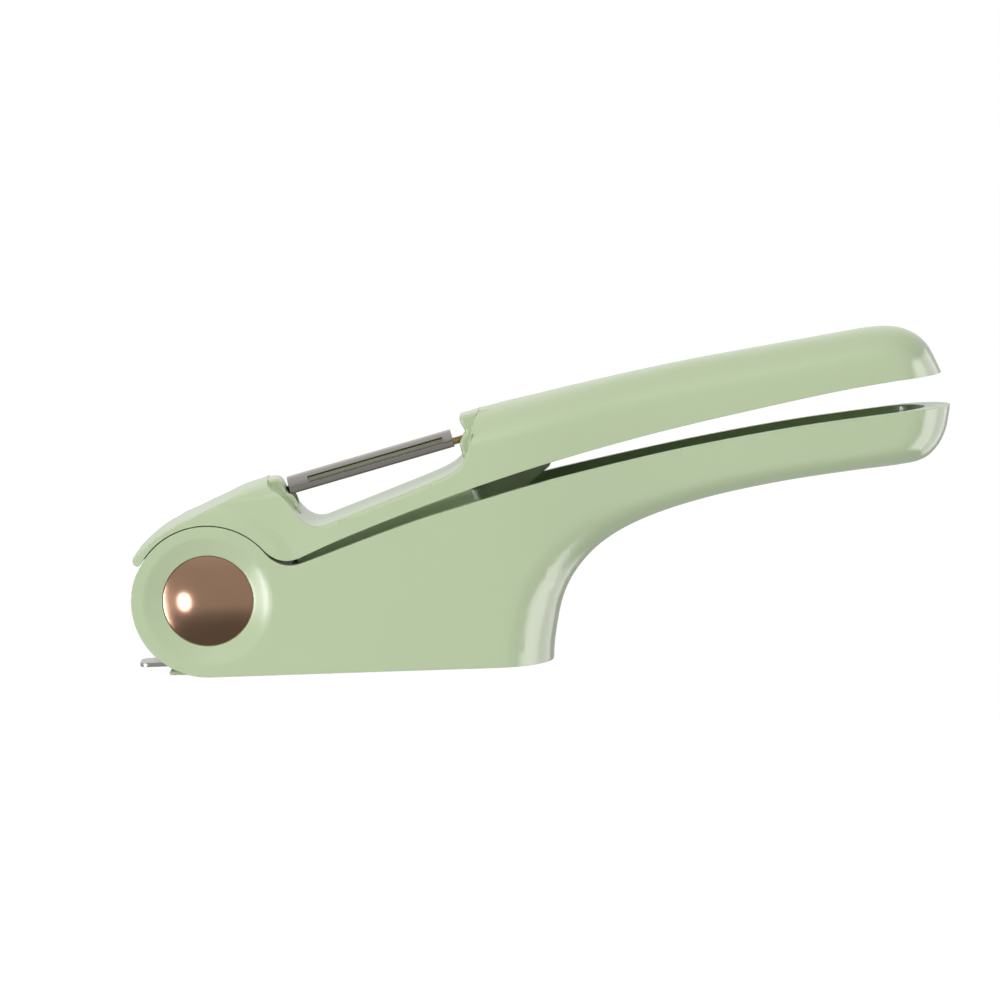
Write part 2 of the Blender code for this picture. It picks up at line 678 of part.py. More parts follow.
def make_lever(frame):
    """The upper handle with its hood, hinge drum, blade notch and pin ribs."""
    lever = place_object("lever_shell", slab(lever_outline(), BODY_HALF), green(), frame)
    shape(lever, lever_hollow())
    shape(lever, blade_notch())
    shape(lever, front_rib(), "UNION")
    shape(lever, rear_rib(), "UNION")
    web_outside, web_inside = HOOD_INNER + 0.9, DRUM_RADIUS - PAST
    web = [*arc((0, 0), web_outside, 44.0, 147.0, 16), *arc((0, 0), web_inside, 147.0, 44.0, 10)]
    shape(lever, slab(web, DRUM_HALF), "UNION")
    shape(lever, rod(DRUM_RADIUS, -DRUM_HALF, DRUM_HALF, 40), "UNION")
    end = DRUM_HALF + PAST
    bore = [(0, -end), (FLANGE_BORE, -end), (FLANGE_BORE, -FLANGE_SEAT), (BUSH_BORE, -FLANGE_SEAT),
            (BUSH_BORE, FLANGE_SEAT), (FLANGE_BORE, FLANGE_SEAT), (FLANGE_BORE, end), (0, end)]
    shape(lever, turned(bore, 32))
    axis = blade_matrix()
    shape(lever, rod(BLADE_SWEEP, BLADE_START - 0.4, BLADE_SWEEP_END, 24, axis))
    for start, end in ((-PIN_HOLE_DEPTH, BLADE_START), (BLADE_SPAN - PAST, BLADE_SPAN + PIN_HOLE_DEPTH)):
        shape(lever, rod(PIN_RADIUS + GAP, start, end, 12, axis))
    for x, z in LEVER_SCREWS:
        shape(lever, rod(SCREW_BORE, z - PAST, z + SCREW_REACH, 16, Matrix.Translation((x, 0, 0))))


# ---------------------------------------------------------------- plunger

def make_plunger(frame):
    """The press block below the lever and the screws that hold it there."""
    top = [point for point in lowered(lever_edge(), GAP) if 24.0 < point[0] < 66.0]
    floor = PLUNGER_BOTTOM
    rear_start = -math.degrees(math.asin(-floor / PLUNGER_REAR))
    rear_arc = arc((0, 0), PLUNGER_REAR, rear_start, PLUNGER_REAR_TOP, 10)
    rounded = [(x, z, x * (1 - PLUNGER_ROUND / PLUNGER_REAR), z, PLUNGER_ROUND) for x, z in rear_arc]
    front_end = -math.degrees(math.asin(-floor / PLUNGER_FRONT))
    front = arc((0, 0), PLUNGER_FRONT, PLUNGER_FRONT_TOP, front_end, 9)
    plunger = place_object("press_block", slab([*rounded, *top[::-1], *front], PLUNGER_HALF), green(), frame)
    tail = [(62.0, 22.4), (76.4, 22.4), (85.6, 29.9), (86.2, 31.1), (76.0, 28.3), (64.0, 24.4)]
    shape(plunger, slab(tail, TAIL_HALF), "UNION")
    hollow = [(27.2, floor - PAST), (63.4, floor - PAST), (63.4, 20.6), (27.2, 8.4)]
    shape(plunger, slab(hollow, PLUNGER_HOLLOW_HALF))
    for (x, z), label in zip(LEVER_SCREWS, ("front", "rear")):
        place = Matrix.Translation((x, 0, 0))
        seat = z - SCREW_SEAT
        hole = [(0, z - 25), (SCREW_WELL, z - 25), (SCREW_WELL, seat), (SCREW_PASSAGE, seat),
                (SCREW_PASSAGE, z + PAST), (0, z + PAST)]
        shape(plunger, turned(hole, 16, place))
        head_top, end = seat - GAP, z + SCREW_REACH - GAP
        head_bottom = head_top - SCREW_HEAD_HEIGHT
        rows = [(0, head_bottom), (SCREW_HEAD_RADIUS - SCREW_CHAMFER, head_bottom),
                (SCREW_HEAD_RADIUS, head_bottom + SCREW_CHAMFER), (SCREW_HEAD_RADIUS, head_top),
                (SCREW_RADIUS, head_top), (SCREW_RADIUS, end), (0, end)]
        place_object(f"press_block_screw_{label}", turned(rows, 16, place), steel(), frame)
    for x, y in PLATE_SCREWS:
        shape(plunger, rod(PLATE_SCREW_BORE, floor - 1, floor + PLATE_SCREW_BORE_END, 12,
                           Matrix.Translation((x, y, 0))))


def make_press_plate(frame):
    """The stainless face of the plunger and its four countersunk screws."""
    x0, x1 = PRESS_PLATE_ENDS
    corner, half = PRESS_PLATE_CORNER, PRESS_PLATE_HALF
    rows = (arc((x1 - corner, half - corner), corner, 90, 0, 4)
            + arc((x1 - corner, corner - half), corner, 0, -90, 4)
            + arc((x0 + corner, corner - half), corner, -90, -180, 4)
            + arc((x0 + corner, half - corner), corner, 180, 90, 4))
    low, high = PRESS_PLATE_BOTTOM, PRESS_PLATE_TOP
    face = place_object("press_plate", plan_plate(rows, low, high), steel(), frame)
    wide, narrow = COUNTERSINK
    hole = [(0, low - 1), (wide, low - 1), (wide, low), (narrow, high), (narrow, high + 1), (0, high + 1)]
    end = PLUNGER_BOTTOM + PLATE_SCREW_END
    screw = [(0, low + SINK_DEPTH), (PLATE_SCREW_HEAD, low + SINK_DEPTH),
             (PLATE_SCREW_RADIUS, high - SINK_DEPTH), (PLATE_SCREW_RADIUS, end), (0, end)]
    for number, (x, y) in enumerate(PLATE_SCREWS, 1):
        place = Matrix.Translation((x, y, 0))
        shape(face, turned(hole, 16, place))
        place_object(f"press_plate_screw_{number}", turned(screw, 12, place), steel(), frame)


# ---------------------------------------------------------------- sieve plate

def make_sieve_plate(frame):
    """The slide-out stainless sieve, with a narrow pull tab at the front."""
    side = PLATE_CORNER - PLATE_HALF
    near = [*arc((TAB_END + TAB_CORNER, TAB_CORNER - TAB_HALF), TAB_CORNER, 180, 270, 4),
            (SHOULDER - SHOULDER_SLOPE, -TAB_HALF),
            *arc((SHOULDER, side), PLATE_CORNER, 180, 270, 3),
            *arc((PLATE_END - PLATE_CORNER, side), PLATE_CORNER, 270, 360, 3)]
    rows = near + [(x, -y) for x, y in near[::-1]]
    plate = place_object("sieve_plate", plan_plate(rows, PLATE_BOTTOM, PLATE_TOP), steel(), frame)
    middle = sum(WINDOW) / 2
    holes = []
    for row in range(HOLE_ROWS):
        y = (row - (HOLE_ROWS - 1) / 2) * HOLE_PITCH
        for column in range(HOLE_COLUMNS):
            x = middle + (column - (HOLE_COLUMNS - 1) / 2) * HOLE_PITCH
            holes.append(rod(HOLE_RADIUS, PLATE_BOTTOM - 1, PLATE_TOP + 1, 8, Matrix.Translation((x, y, 0))))
    shape(plate, merged(*holes))


# ---------------------------------------------------------------- peeler blade

def make_blade(frame):
    """The slotted stainless blade, an open tube with an eye for each pin. It leans to the near side."""
    centre = (0, -BLADE_DROP)
    inner = BLADE_RADIUS - BLADE_THICK
    start, end = BLADE_START, BLADE_START + BLADE_LENGTH
    far_edge, near_edge = 90 - BLADE_FAR, 90 + BLADE_NEAR
    axis = blade_matrix()
    turn = axis @ Matrix.Rotation(math.radians(BLADE_LEAN), 4, "Z")

    def prism(rows, bottom, top):
        bm = plan_plate(rows, bottom, top)
        bm.transform(turn)
        return bm

    outside = arc(centre, BLADE_RADIUS, far_edge, near_edge, 20) + arc((0, 0), BLADE_EYE, 165, 285, 6)
    strip = place_object("peeler_blade", prism(outside, start, end), steel(), frame)
    reach = BLADE_RADIUS + PAST
    hollow = [*arc(centre, inner, far_edge, near_edge, 20), arc(centre, reach, near_edge, near_edge, 1)[0],
              (-reach, -BLADE_RADIUS), (-BLADE_RADIUS, -reach), arc(centre, reach, far_edge, far_edge, 1)[0]]
    shape(strip, prism(hollow, start + BLADE_END_WALL, end - BLADE_END_WALL))
    half = BLADE_SLOT_HALF
    shape(strip, prism([(-half, 0), (-half, reach), (half, reach), (half, 0)], *BLADE_SLOT))
    shape(strip, rod(PIN_BORE, 0, BLADE_SPAN, 12, axis))
    head_start = BLADE_END_WALL + 0.2
    head_end = head_start + PIN_HEAD_HEIGHT
    for label, origin, way in (("front", start, 1), ("rear", end, -1)):
        rows = [(0, -PIN_REACH), (PIN_RADIUS, -PIN_REACH), (PIN_RADIUS, head_start), (PIN_HEAD, head_start),
                (PIN_HEAD, head_end), (0, head_end)]
        pin = turned([(radius, origin + way * along) for radius, along in rows], 12, axis)
        place_object(f"blade_pin_{label}", pin, steel(), frame)


# ---------------------------------------------------------------- assembly

def main():
    for obj in list(bpy.data.objects):
        bpy.data.objects.remove(obj)
    hinge = Matrix.Translation(Vector((HEAD_RADIUS - LENGTH / 2, 0, HEAD_RADIUS)) * MM)
    body = axis_empty("body_frame", place=hinge)
    lever = axis_empty("lever_axis", place=hinge)
    sieve = axis_empty("sieve_frame", body)
    blade = axis_empty("blade_frame", lever)
    make_body(body)
    make_chamber_liner(body)
    make_hinge(body, lever)
    make_lever(lever)
    make_plunger(lever)
    make_press_plate(lever)
    make_sieve_plate(sieve)
    make_blade(blade)


main()
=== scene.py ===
"""Looks of the garlic press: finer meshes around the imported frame, moulded plastic, copper and steel.

Shapes are drawn in millimetres from the hinge axis, x towards the handles' ends and z up, as the press
rests with its plunger on the sieve plate. A side outline is grown sideways into a rounded solid.
"""

import json
import math

import bmesh
import bpy
from mathutils import Matrix, Vector


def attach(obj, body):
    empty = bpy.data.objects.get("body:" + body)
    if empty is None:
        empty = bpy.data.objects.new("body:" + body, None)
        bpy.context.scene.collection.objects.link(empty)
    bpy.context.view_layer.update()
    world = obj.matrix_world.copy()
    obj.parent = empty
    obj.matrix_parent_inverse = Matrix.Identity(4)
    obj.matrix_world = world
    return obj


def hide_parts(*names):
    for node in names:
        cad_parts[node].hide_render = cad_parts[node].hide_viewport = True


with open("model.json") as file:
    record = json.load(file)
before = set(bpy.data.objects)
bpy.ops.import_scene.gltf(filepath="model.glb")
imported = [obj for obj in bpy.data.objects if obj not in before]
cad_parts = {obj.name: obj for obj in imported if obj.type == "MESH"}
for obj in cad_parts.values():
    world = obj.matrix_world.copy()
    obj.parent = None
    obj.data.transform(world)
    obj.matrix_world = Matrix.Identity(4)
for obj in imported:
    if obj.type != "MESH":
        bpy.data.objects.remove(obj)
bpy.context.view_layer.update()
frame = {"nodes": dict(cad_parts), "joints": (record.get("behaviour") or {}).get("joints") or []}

MM = 0.001
HINGE = Vector(next(joint["pos_m"] for joint in frame["joints"] if joint["name"] == "lever_hinge"))
TO_ROW = Matrix.Translation(HINGE) @ Matrix.Scale(MM, 4)

# Driving dimensions of the press, in millimetres and degrees from the hinge axis
HEAD_RADIUS = 18.9
BODY_HALF = 14.0
HANDLE_HALF = 11.0
REST_OPEN = 2.46
WALL = 2.2
TROUGH_WALL = 2.0
GAP = 0.3
BASE = -HEAD_RADIUS
TAPER_START = 72
TAPER_END = 118
TAPER_STEP = 2
ROUND_STEPS = 10
CURVE_STEPS = 6
CORNER_STEPS = 8
EDGE_RADIUS = 0.15
SHEET_EDGE_RADIUS = 0.12
NOTCH_EDGE_RADIUS = 1.1
SHARP_ANGLE = 32.0

DRUM_RADIUS = 13.8
DRUM_HALF = 6.9
SLOT_HALF = 8.2
SLOT_START = 39
SLOT_END = 213
COLLAR_RADIUS = 18.7
COLLAR_BLEND = (150.0, 165.0)
HOOD_INNER = COLLAR_RADIUS + 0.25
HOOD_OUTER = 20.8
CROWN_START = 113.0
LIP_ANGLE = 150.2
VALLEY_ANGLE = 37.5
VALLEY_RADIUS = 7.85
VALLEY_END = 288.8
AXLE_RADIUS = 4.0
AXLE_BORE = 2.6
BUSH_HOLE = 6.0
BUSH_FLANGE_HOLE = 8.4
BUSH_SHOULDER = 5.6
CAP_RADIUS = 11.0
CAP_FLOOR = 10.4
DISH_RADIUS = 15.9
DISH_DEPTH = 1.7
CAP_DOME = 1.94

# The hood's side stands proud in a band around the head and steps in softly beyond it
BAND_RADIUS = 21.3
BAND_BLEND = 3.4
BAND_STEP = 0.062

PLUNGER_FRONT = 24.2
PLUNGER_REAR = 72.3
PLUNGER_HALF = 10.1
PLUNGER_GAP = 0.4
PLUNGER_ROUND = 3.0
LINER_WALL = 1.0
LINER_HALF = PLUNGER_HALF + PLUNGER_GAP + LINER_WALL
REAR_WALL_TOP = 20.6

PLATE_BOTTOM = BASE + 1.7
PLATE_TOP = PLATE_BOTTOM + 1.0
PLATE_HALF = 10.5
PLATE_END = 73.0
TAB_HALF = 4.5
TAB_END = -18.3
HOLE_RADIUS = 1.05
HOLE_ROWS = 5
HOLE_COLUMNS = 13
HOLE_PITCH = 3.6
WINDOW = (19.5, 70.5)
WINDOW_HALF = 9.3
PRESS_PLATE_BOTTOM = PLATE_TOP + GAP
PRESS_PLATE_TOP = PRESS_PLATE_BOTTOM + 1.0
PLUNGER_BOTTOM = PRESS_PLATE_TOP + GAP
PLATE_SCREWS = [(x, y) for x in (23.6, 66.4) for y in (-6.4, 6.4)]
PLATE_SCREW_HEAD = 1.9
PLATE_SCREW_STEM = 1.0
PLATE_SCREW_LENGTH = 4.6
PLATE_SCREW_SLOT = (1.15, 0.22, 0.55)
LEVER_SCREWS = ((30.5, 13.4), (59.5, 23.6))
LEVER_SCREW_HOLE = 1.7
LEVER_SCREW_HEAD_HOLE = 3.1

BLADE_FRONT = (19.9, 25.7)
BLADE_TILT = 14.4
BLADE_SPAN = 45.9
BLADE_START = 0.9
BLADE_LENGTH = 42.5
BLADE_RADIUS = 3.5
BLADE_THICK = 0.5
BLADE_NEAR = 44.0
BLADE_FAR = 133.0
BLADE_DROP = 0.7
BLADE_LEAN = 58.0
BLADE_SLOT = (6.0, 41.0)
BLADE_SLOT_HALF = 0.62
BLADE_END_WALL = 0.8
BLADE_SWEEP = 4.35
BLADE_SWEEP_END = 6.0
BLADE_EYE = 1.35
PIN_RADIUS = 0.9
PIN_HEAD = 1.3
PIN_TAIL = 4.3
PIN_HOLE_DEPTH = 3.4
RIB_HALF = 5.2


# ---------------------------------------------------------------- curves of the side view

def polar(radius, degrees, centre=(0, 0)):
    """The point of a circle at an angle."""
    angle = math.radians(degrees)
    return centre[0] + radius * math.cos(angle), centre[1] + radius * math.sin(angle)


def arc(centre, radius, start, end, steps):
    """Points on a circle, from one angle to another in degrees."""
    return [polar(radius, start + (end - start) * i / steps, centre) for i in range(steps + 1)]


def angle_at(height, radius):
    """The angle at which a circle about the hinge axis reaches a height."""
    return math.degrees(math.asin(height / radius))


def smooth(rows, steps=CURVE_STEPS):
    """A Catmull-Rom curve through rows of numbers, with this many steps between two rows."""
    curve = []
    last = len(rows) - 1
    for i in range(last):
        before, start, end, after = (rows[min(max(i + k, 0), last)] for k in (-1, 0, 1, 2))
        for k in range(steps):
            t = k / steps
            curve.append(tuple(
                b + 0.5 * t * ((c - a) + t * (2 * a - 5 * b + 4 * c - d + t * (3 * (b - c) + d - a)))
                for a, b, c, d in zip(before, start, end, after)))
    curve.append(tuple(rows[-1]))
    return curve


def smoothstep(low, high, value):
    """0 below low, 1 above high, and a smooth rise between them."""
    t = min(max((value - low) / (high - low), 0.0), 1.0)
    return t * t * (3 - 2 * t)


def turned_about_hinge(points, degrees):
    """Points of the side view, swung about the hinge axis."""
    cos, sin = math.cos(math.radians(degrees)), math.sin(math.radians(degrees))
    return [(x * cos - z * sin, x * sin + z * cos) for x, z in points]


def lowered(points, distance):
    """A curve that runs to the right, moved down square to itself."""
    moved = []
    for i, (x, z) in enumerate(points):
        ahead, behind = points[min(i + 1, len(points) - 1)], points[max(i - 1, 0)]
        along = Vector((ahead[0] - behind[0], ahead[1] - behind[1])).normalized()
        moved.append((x + along.y * distance, z - along.x * distance))
    return moved


VALLEY_CENTRE = polar(COLLAR_RADIUS + VALLEY_RADIUS, VALLEY_ANGLE)
RIM_ROWS = [polar(VALLEY_RADIUS, VALLEY_END, VALLEY_CENTRE), (48.3, 17.25), (66.0, 22.3), (83.0, 26.75),
            (108.0, 31.95), (128.0, 35.5), (150.0, 38.65), (175.1, 41.25)]
RIM_END = (186.1, 41.9)
LEVER_ROWS = [*turned_about_hinge([polar(VALLEY_RADIUS - GAP, VALLEY_END, VALLEY_CENTRE)], REST_OPEN),
              (33.5, 14.45), (48.7, 20.05), (58.9, 23.55), (69.0, 26.85), (79.1, 29.85), (87.65, 32.15),
              (99.8, 35.15), (111.9, 37.9), (124.0, 40.45), (136.0, 42.8), (148.1, 45.1), (160.2, 47.2),
              (172.4, 48.9)]


def rim():
    """The body's rim from the valley behind the head to the end of the lower handle's flat side."""
    return smooth(RIM_ROWS, 12)


def lever_edge():
    """The lever's lower edge, at rest."""
    return smooth(LEVER_ROWS, 8)


# ---------------------------------------------------------------- mesh builders

def taper(x):
    """The share of the body's width that is left at x."""
    return 1 - (1 - HANDLE_HALF / BODY_HALF) * smoothstep(TAPER_START, TAPER_END, x)


def whole(bm):
    """Everything in a mesh, as bmesh operators take it."""
    return bm.verts[:] + bm.edges[:] + bm.faces[:]


def cut_across(bm, places, normal):
    """Adds loops of edges where planes square to normal pass through these places."""
    for place in places:
        bmesh.ops.bisect_plane(bm, geom=whole(bm), dist=1e-3, plane_co=Vector(normal) * place,
                               plane_no=normal)


def finished(bm):
    """Merges doubled points, narrows the mesh towards the handles and turns its faces outwards."""
    bmesh.ops.remove_doubles(bm, verts=bm.verts, dist=1e-4)
    bmesh.ops.dissolve_degenerate(bm, dist=1e-4, edges=bm.edges)
    cut_across(bm, range(TAPER_START, TAPER_END + 1, TAPER_STEP), (1, 0, 0))
    for vert in bm.verts:
        vert.co.y *= taper(vert.co.x)
    bmesh.ops.recalc_face_normals(bm, faces=bm.faces)
    return bm


def slab(rows, half_width):
    """A side outline grown to half_width on each side of the middle plane.

    A row is (x, z) for a square edge, or (x, z, flat_x, flat_z, depth) for a rounded one: from (x, z) the
    surface curves over a quarter of an ellipse, depth wide, to the flat side face at (flat_x, flat_z).
    """
    rows = [row if len(row) == 5 else (*row, *row, 0.0) for row in rows]
    angles = [math.pi / 2 * k / ROUND_STEPS for k in range(ROUND_STEPS + 1)]
    bm = bmesh.new()
    rings = []
    for side, sweep in ((-1, angles[::-1]), (1, angles)):
        for angle in sweep:
            pull, rise = 1 - math.cos(angle), 1 - math.sin(angle)
            rings.append([bm.verts.new((x + (flat_x - x) * pull,
                                        side * (half_width - min(depth, half_width) * rise),
                                        z + (flat_z - z) * pull))
                          for x, z, flat_x, flat_z, depth in rows])
    for near, far in zip(rings, rings[1:]):
        for i, vert in enumerate(near):
            bm.faces.new((near[i - 1], vert, far[i], far[i - 1]))
    bm.faces.new(rings[0])
    bm.faces.new(rings[-1][::-1])
    return finished(bm)


def turned(profile, segments=64, place=None):
    """A closed profile of (radius, along) pairs, turned about its axis.

    The axis is the Y axis through the hinge, unless place carries +Z somewhere else.
    """
    bm = bmesh.new()
    rings = []
    for radius, along in profile:
        count = segments if radius > 0 else 1
        rings.append([bm.verts.new((radius * math.cos(2 * math.pi * k / segments),
                                    radius * math.sin(2 * math.pi * k / segments), along))
                      for k in range(count)])
    for first, second in zip(rings, rings[1:] + rings[:1]):
        for k in range(segments if max(len(first), len(second)) > 1 else 0):
            corners = [first[k % len(first)], first[(k + 1) % len(first)],
                       second[(k + 1) % len(second)], second[k % len(second)]]
            distinct = list(dict.fromkeys(corners))
            if len(distinct) > 2:
                bm.faces.new(distinct)
    bm.transform(place or Matrix.Rotation(math.radians(-90), 4, "X"))
    bmesh.ops.recalc_face_normals(bm, faces=bm.faces)
    return bm


def rod(radius, low, high, segments=24, place=None):
    """A plain cylinder between two heights along its axis."""
    return turned([(0, low), (radius, low), (radius, high), (0, high)], segments, place)


def upright(x, y=0.0):
    """Stands a turned shape up at a place in plan."""
    return Matrix.Translation((x, y, 0))


def merged(*meshes):
    """Several meshes as the separate bodies of one."""
    joined = bmesh.new()
    for bm in meshes:
        piece = bpy.data.meshes.new("piece")
        bm.to_mesh(piece)
        joined.from_mesh(piece)
        bpy.data.meshes.remove(piece)
    return joined


def block(low, high):
    """A box between two corners."""
    (x0, y0, z0), (x1, y1, z1) = low, high
    bm = bmesh.new()
    bmesh.ops.create_cube(bm, size=1.0)
    bm.transform(Matrix.Translation(((x0 + x1) / 2, (y0 + y1) / 2, (z0 + z1) / 2))
                 @ Matrix.Diagonal((x1 - x0, y1 - y0, z1 - z0, 1)))
    return bm


def plan_plate(rows, bottom, top):
    """A plate between two heights. rows go round its plan as (x, y)."""
    bm = bmesh.new()
    low = [bm.verts.new((x, y, bottom)) for x, y in rows]
    high = [bm.verts.new((x, y, top)) for x, y in rows]
    for i in range(len(rows)):
        bm.faces.new((low[i - 1], low[i], high[i], high[i - 1]))
    bm.faces.new(low[::-1])
    bm.faces.new(high)
    bmesh.ops.recalc_face_normals(bm, faces=bm.faces)
    return bm


def rounded_plan(x0, x1, half, corner):
    """A rectangle's plan from x0 to x1 and half wide each way, with round corners."""
    return (arc((x1 - corner, half - corner), corner, 90, 0, CORNER_STEPS)
            + arc((x1 - corner, corner - half), corner, 0, -90, CORNER_STEPS)
            + arc((x0 + corner, corner - half), corner, -90, -180, CORNER_STEPS)
            + arc((x0 + corner, half - corner), corner, 180, 90, CORNER_STEPS))


# ---------------------------------------------------------------- objects

def object_of(name, bm):
    """An object from a mesh in millimetres about the hinge axis."""
    bm.transform(TO_ROW)
    mesh = bpy.data.meshes.new(name)
    bm.to_mesh(mesh)
    bm.free()
    obj = bpy.data.objects.new(name, mesh)
    bpy.context.scene.collection.objects.link(obj)
    return obj


def shaped(name, bm, steps):
    """The mesh after a list of ("DIFFERENCE" or "UNION", mesh) steps, as one object."""
    obj = object_of(name, bm)
    for operation, tool in steps:
        cutter = object_of("cutter", tool)
        modifier = obj.modifiers.new(operation, "BOOLEAN")
        modifier.operation = operation
        modifier.solver = "EXACT"
        modifier.object = cutter
        result = bpy.data.meshes.new_from_object(obj.evaluated_get(bpy.context.evaluated_depsgraph_get()))
        obj.modifiers.clear()
        obj.data = result
        bpy.data.objects.remove(cutter)
    return obj


def weigh_edges(bm, edge, wide_edge, wide_share):
    """Gives every sharp edge its share of the widest edge radius."""
    weights = bm.edges.layers.float.new("bevel_weight_edge")
    for border in bm.edges:
        if len(border.link_faces) == 2 and border.calc_face_angle(0.0) > math.radians(SHARP_ANGLE):
            middle = TO_ROW.inverted() @ ((border.verts[0].co + border.verts[1].co) / 2)
            share = wide_share(middle) if border.is_convex else 0.0
            border[weights] = max(share, edge / wide_edge)


def dress(obj, body, finish, nodes, edge=EDGE_RADIUS, wide_edge=None, wide_share=None):
    """Softens a piece's edges, shades it, and puts it on its body in place of the frame's nodes.

    wide_share gives each point's share of the wide edge radius; all other edges keep the narrow one.
    """
    mesh = obj.data
    bm = bmesh.new()
    bm.from_mesh(mesh)
    bmesh.ops.remove_doubles(bm, verts=bm.verts, dist=2e-6)
    bmesh.ops.dissolve_degenerate(bm, dist=2e-6, edges=bm.edges)
    bmesh.ops.dissolve_limit(bm, angle_limit=math.radians(0.2), verts=bm.verts, edges=bm.edges)
    if wide_edge:
        weigh_edges(bm, edge, wide_edge, wide_share)
    bm.to_mesh(mesh)
    bm.free()
    mesh.materials.clear()
    mesh.materials.append(finish)
    mesh.shade_smooth()
    if edge:
        bevel = obj.modifiers.new("edge_radius", "BEVEL")
        bevel.width = (wide_edge or edge) * MM
        bevel.segments = 4 if wide_edge else 2
        bevel.limit_method = "WEIGHT" if wide_edge else "ANGLE"
        bevel.angle_limit = math.radians(SHARP_ANGLE)
        bevel.use_clamp_overlap = False
        bevel.harden_normals = False
        bevel.miter_outer = "MITER_ARC"
    normals = obj.modifiers.new("even_normals", "WEIGHTED_NORMAL")
    normals.mode = "FACE_AREA"
    normals.keep_sharp = True
    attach(obj, body)
    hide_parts(*nodes)


# ---------------------------------------------------------------- materials

# Depths of the surface textures, in metres, and how far the plastic's roughness wanders
PLASTIC_GRAIN = 0.0000022
NYLON_GRAIN = 0.000003
COPPER_RINGS = 0.0000012
BRUSH_MARKS = 0.0000008
GLOSS_CHANGE = 0.035


def principled(name):
    """A new material's node tree and its Principled shader."""
    material = bpy.data.materials.new(name)
    material.use_nodes = True
    return material, material.node_tree, material.node_tree.nodes["Principled BSDF"]


def feed(tree, value, socket):
    """Links a node's output to a socket, or sets the socket to a plain value."""
    if isinstance(value, bpy.types.NodeSocket):
        tree.links.new(value, socket)
    else:
        socket.default_value = value


def mixed(tree, share, first, second):
    """A blend from the first colour to the second, by a share from 0 to 1."""
    node = tree.nodes.new("ShaderNodeMix")
    node.data_type = "RGBA"
    tree.links.new(share, node.inputs["Factor"])
    feed(tree, first, node.inputs["A"])
    feed(tree, second, node.inputs["B"])
    return node.outputs["Result"]


def noise(tree, scale, detail=2.0, stretch=(1, 1, 1)):
    """Noise in object space, so that it stays on the piece."""
    coords = tree.nodes.new("ShaderNodeTexCoord")
    mapping = tree.nodes.new("ShaderNodeMapping")
    mapping.inputs["Scale"].default_value = stretch
    texture = tree.nodes.new("ShaderNodeTexNoise")
    texture.inputs["Scale"].default_value = scale
    texture.inputs["Detail"].default_value = detail
    tree.links.new(coords.outputs["Object"], mapping.inputs["Vector"])
    tree.links.new(mapping.outputs["Vector"], texture.inputs["Vector"])
    return texture.outputs["Fac"]


def ramp(tree, value, low, high):
    """Maps a 0 to 1 value onto low to high, which are numbers or colours."""
    if isinstance(low, (int, float)):
        node = tree.nodes.new("ShaderNodeMapRange")
        node.inputs["To Min"].default_value = low
        node.inputs["To Max"].default_value = high
        tree.links.new(value, node.inputs["Value"])
        return node.outputs["Result"]
    return mixed(tree, value, (*low, 1), (*high, 1))


def bump(tree, shader, height, distance):
    """Lets a height from 0 to 1 raise the surface by up to a distance in metres."""
    node = tree.nodes.new("ShaderNodeBump")
    node.inputs["Distance"].default_value = distance
    tree.links.new(height, node.inputs["Height"])
    tree.links.new(node.outputs["Normal"], shader.inputs["Normal"])


def moulded_plastic(name, dark, light, roughness, grain=PLASTIC_GRAIN):
    """Satin moulded plastic: a fine sparked grain, slow changes of tone and of gloss."""
    material, tree, shader = principled(name)
    tone = noise(tree, 38.0, 3.0)
    tree.links.new(ramp(tree, tone, dark, light), shader.inputs["Base Color"])
    gloss = noise(tree, 260.0, 4.0)
    tree.links.new(ramp(tree, gloss, roughness - GLOSS_CHANGE, roughness + GLOSS_CHANGE),
                   shader.inputs["Roughness"])
    bump(tree, shader, noise(tree, 5200.0, 2.0), grain)
    shader.inputs["IOR"].default_value = 1.5
    return material


def spun_copper():
    """Polished copper finish with a trace of spun rings about the hinge axis."""
    material, tree, shader = principled("copper_finish")
    coords = tree.nodes.new("ShaderNodeTexCoord")
    offset = tree.nodes.new("ShaderNodeVectorMath")
    offset.operation = "SUBTRACT"
    offset.inputs[1].default_value = HINGE
    tree.links.new(coords.outputs["Object"], offset.inputs[0])
    flat = tree.nodes.new("ShaderNodeVectorMath")
    flat.operation = "MULTIPLY"
    flat.inputs[1].default_value = (1, 0, 1)
    tree.links.new(offset.outputs["Vector"], flat.inputs[0])
    radius = tree.nodes.new("ShaderNodeVectorMath")
    radius.operation = "LENGTH"
    tree.links.new(flat.outputs["Vector"], radius.inputs[0])
    rings = tree.nodes.new("ShaderNodeTexNoise")
    rings.noise_dimensions = "1D"
    rings.inputs["Scale"].default_value = 9000.0
    rings.inputs["Detail"].default_value = 2.0
    tree.links.new(radius.outputs["Value"], rings.inputs["W"])
    bump(tree, shader, rings.outputs["Fac"], COPPER_RINGS)
    tone = noise(tree, 120.0, 3.0)
    tree.links.new(ramp(tree, tone, (0.60, 0.365, 0.235), (0.66, 0.41, 0.27)), shader.inputs["Base Color"])
    tree.links.new(ramp(tree, tone, 0.12, 0.15), shader.inputs["Roughness"])
    shader.inputs["Metallic"].default_value = 1.0
    return material


def brushed_steel(name, dark, light, roughness, stretch):
    """Stainless steel with fine brush marks along one direction."""
    material, tree, shader = principled(name)
    marks = noise(tree, 1400.0, 2.0, stretch)
    tree.links.new(ramp(tree, marks, dark, light), shader.inputs["Base Color"])
    tree.links.new(ramp(tree, marks, roughness - 0.03, roughness + 0.04), shader.inputs["Roughness"])
    bump(tree, shader, marks, BRUSH_MARKS)
    shader.inputs["Metallic"].default_value = 1.0
    return material


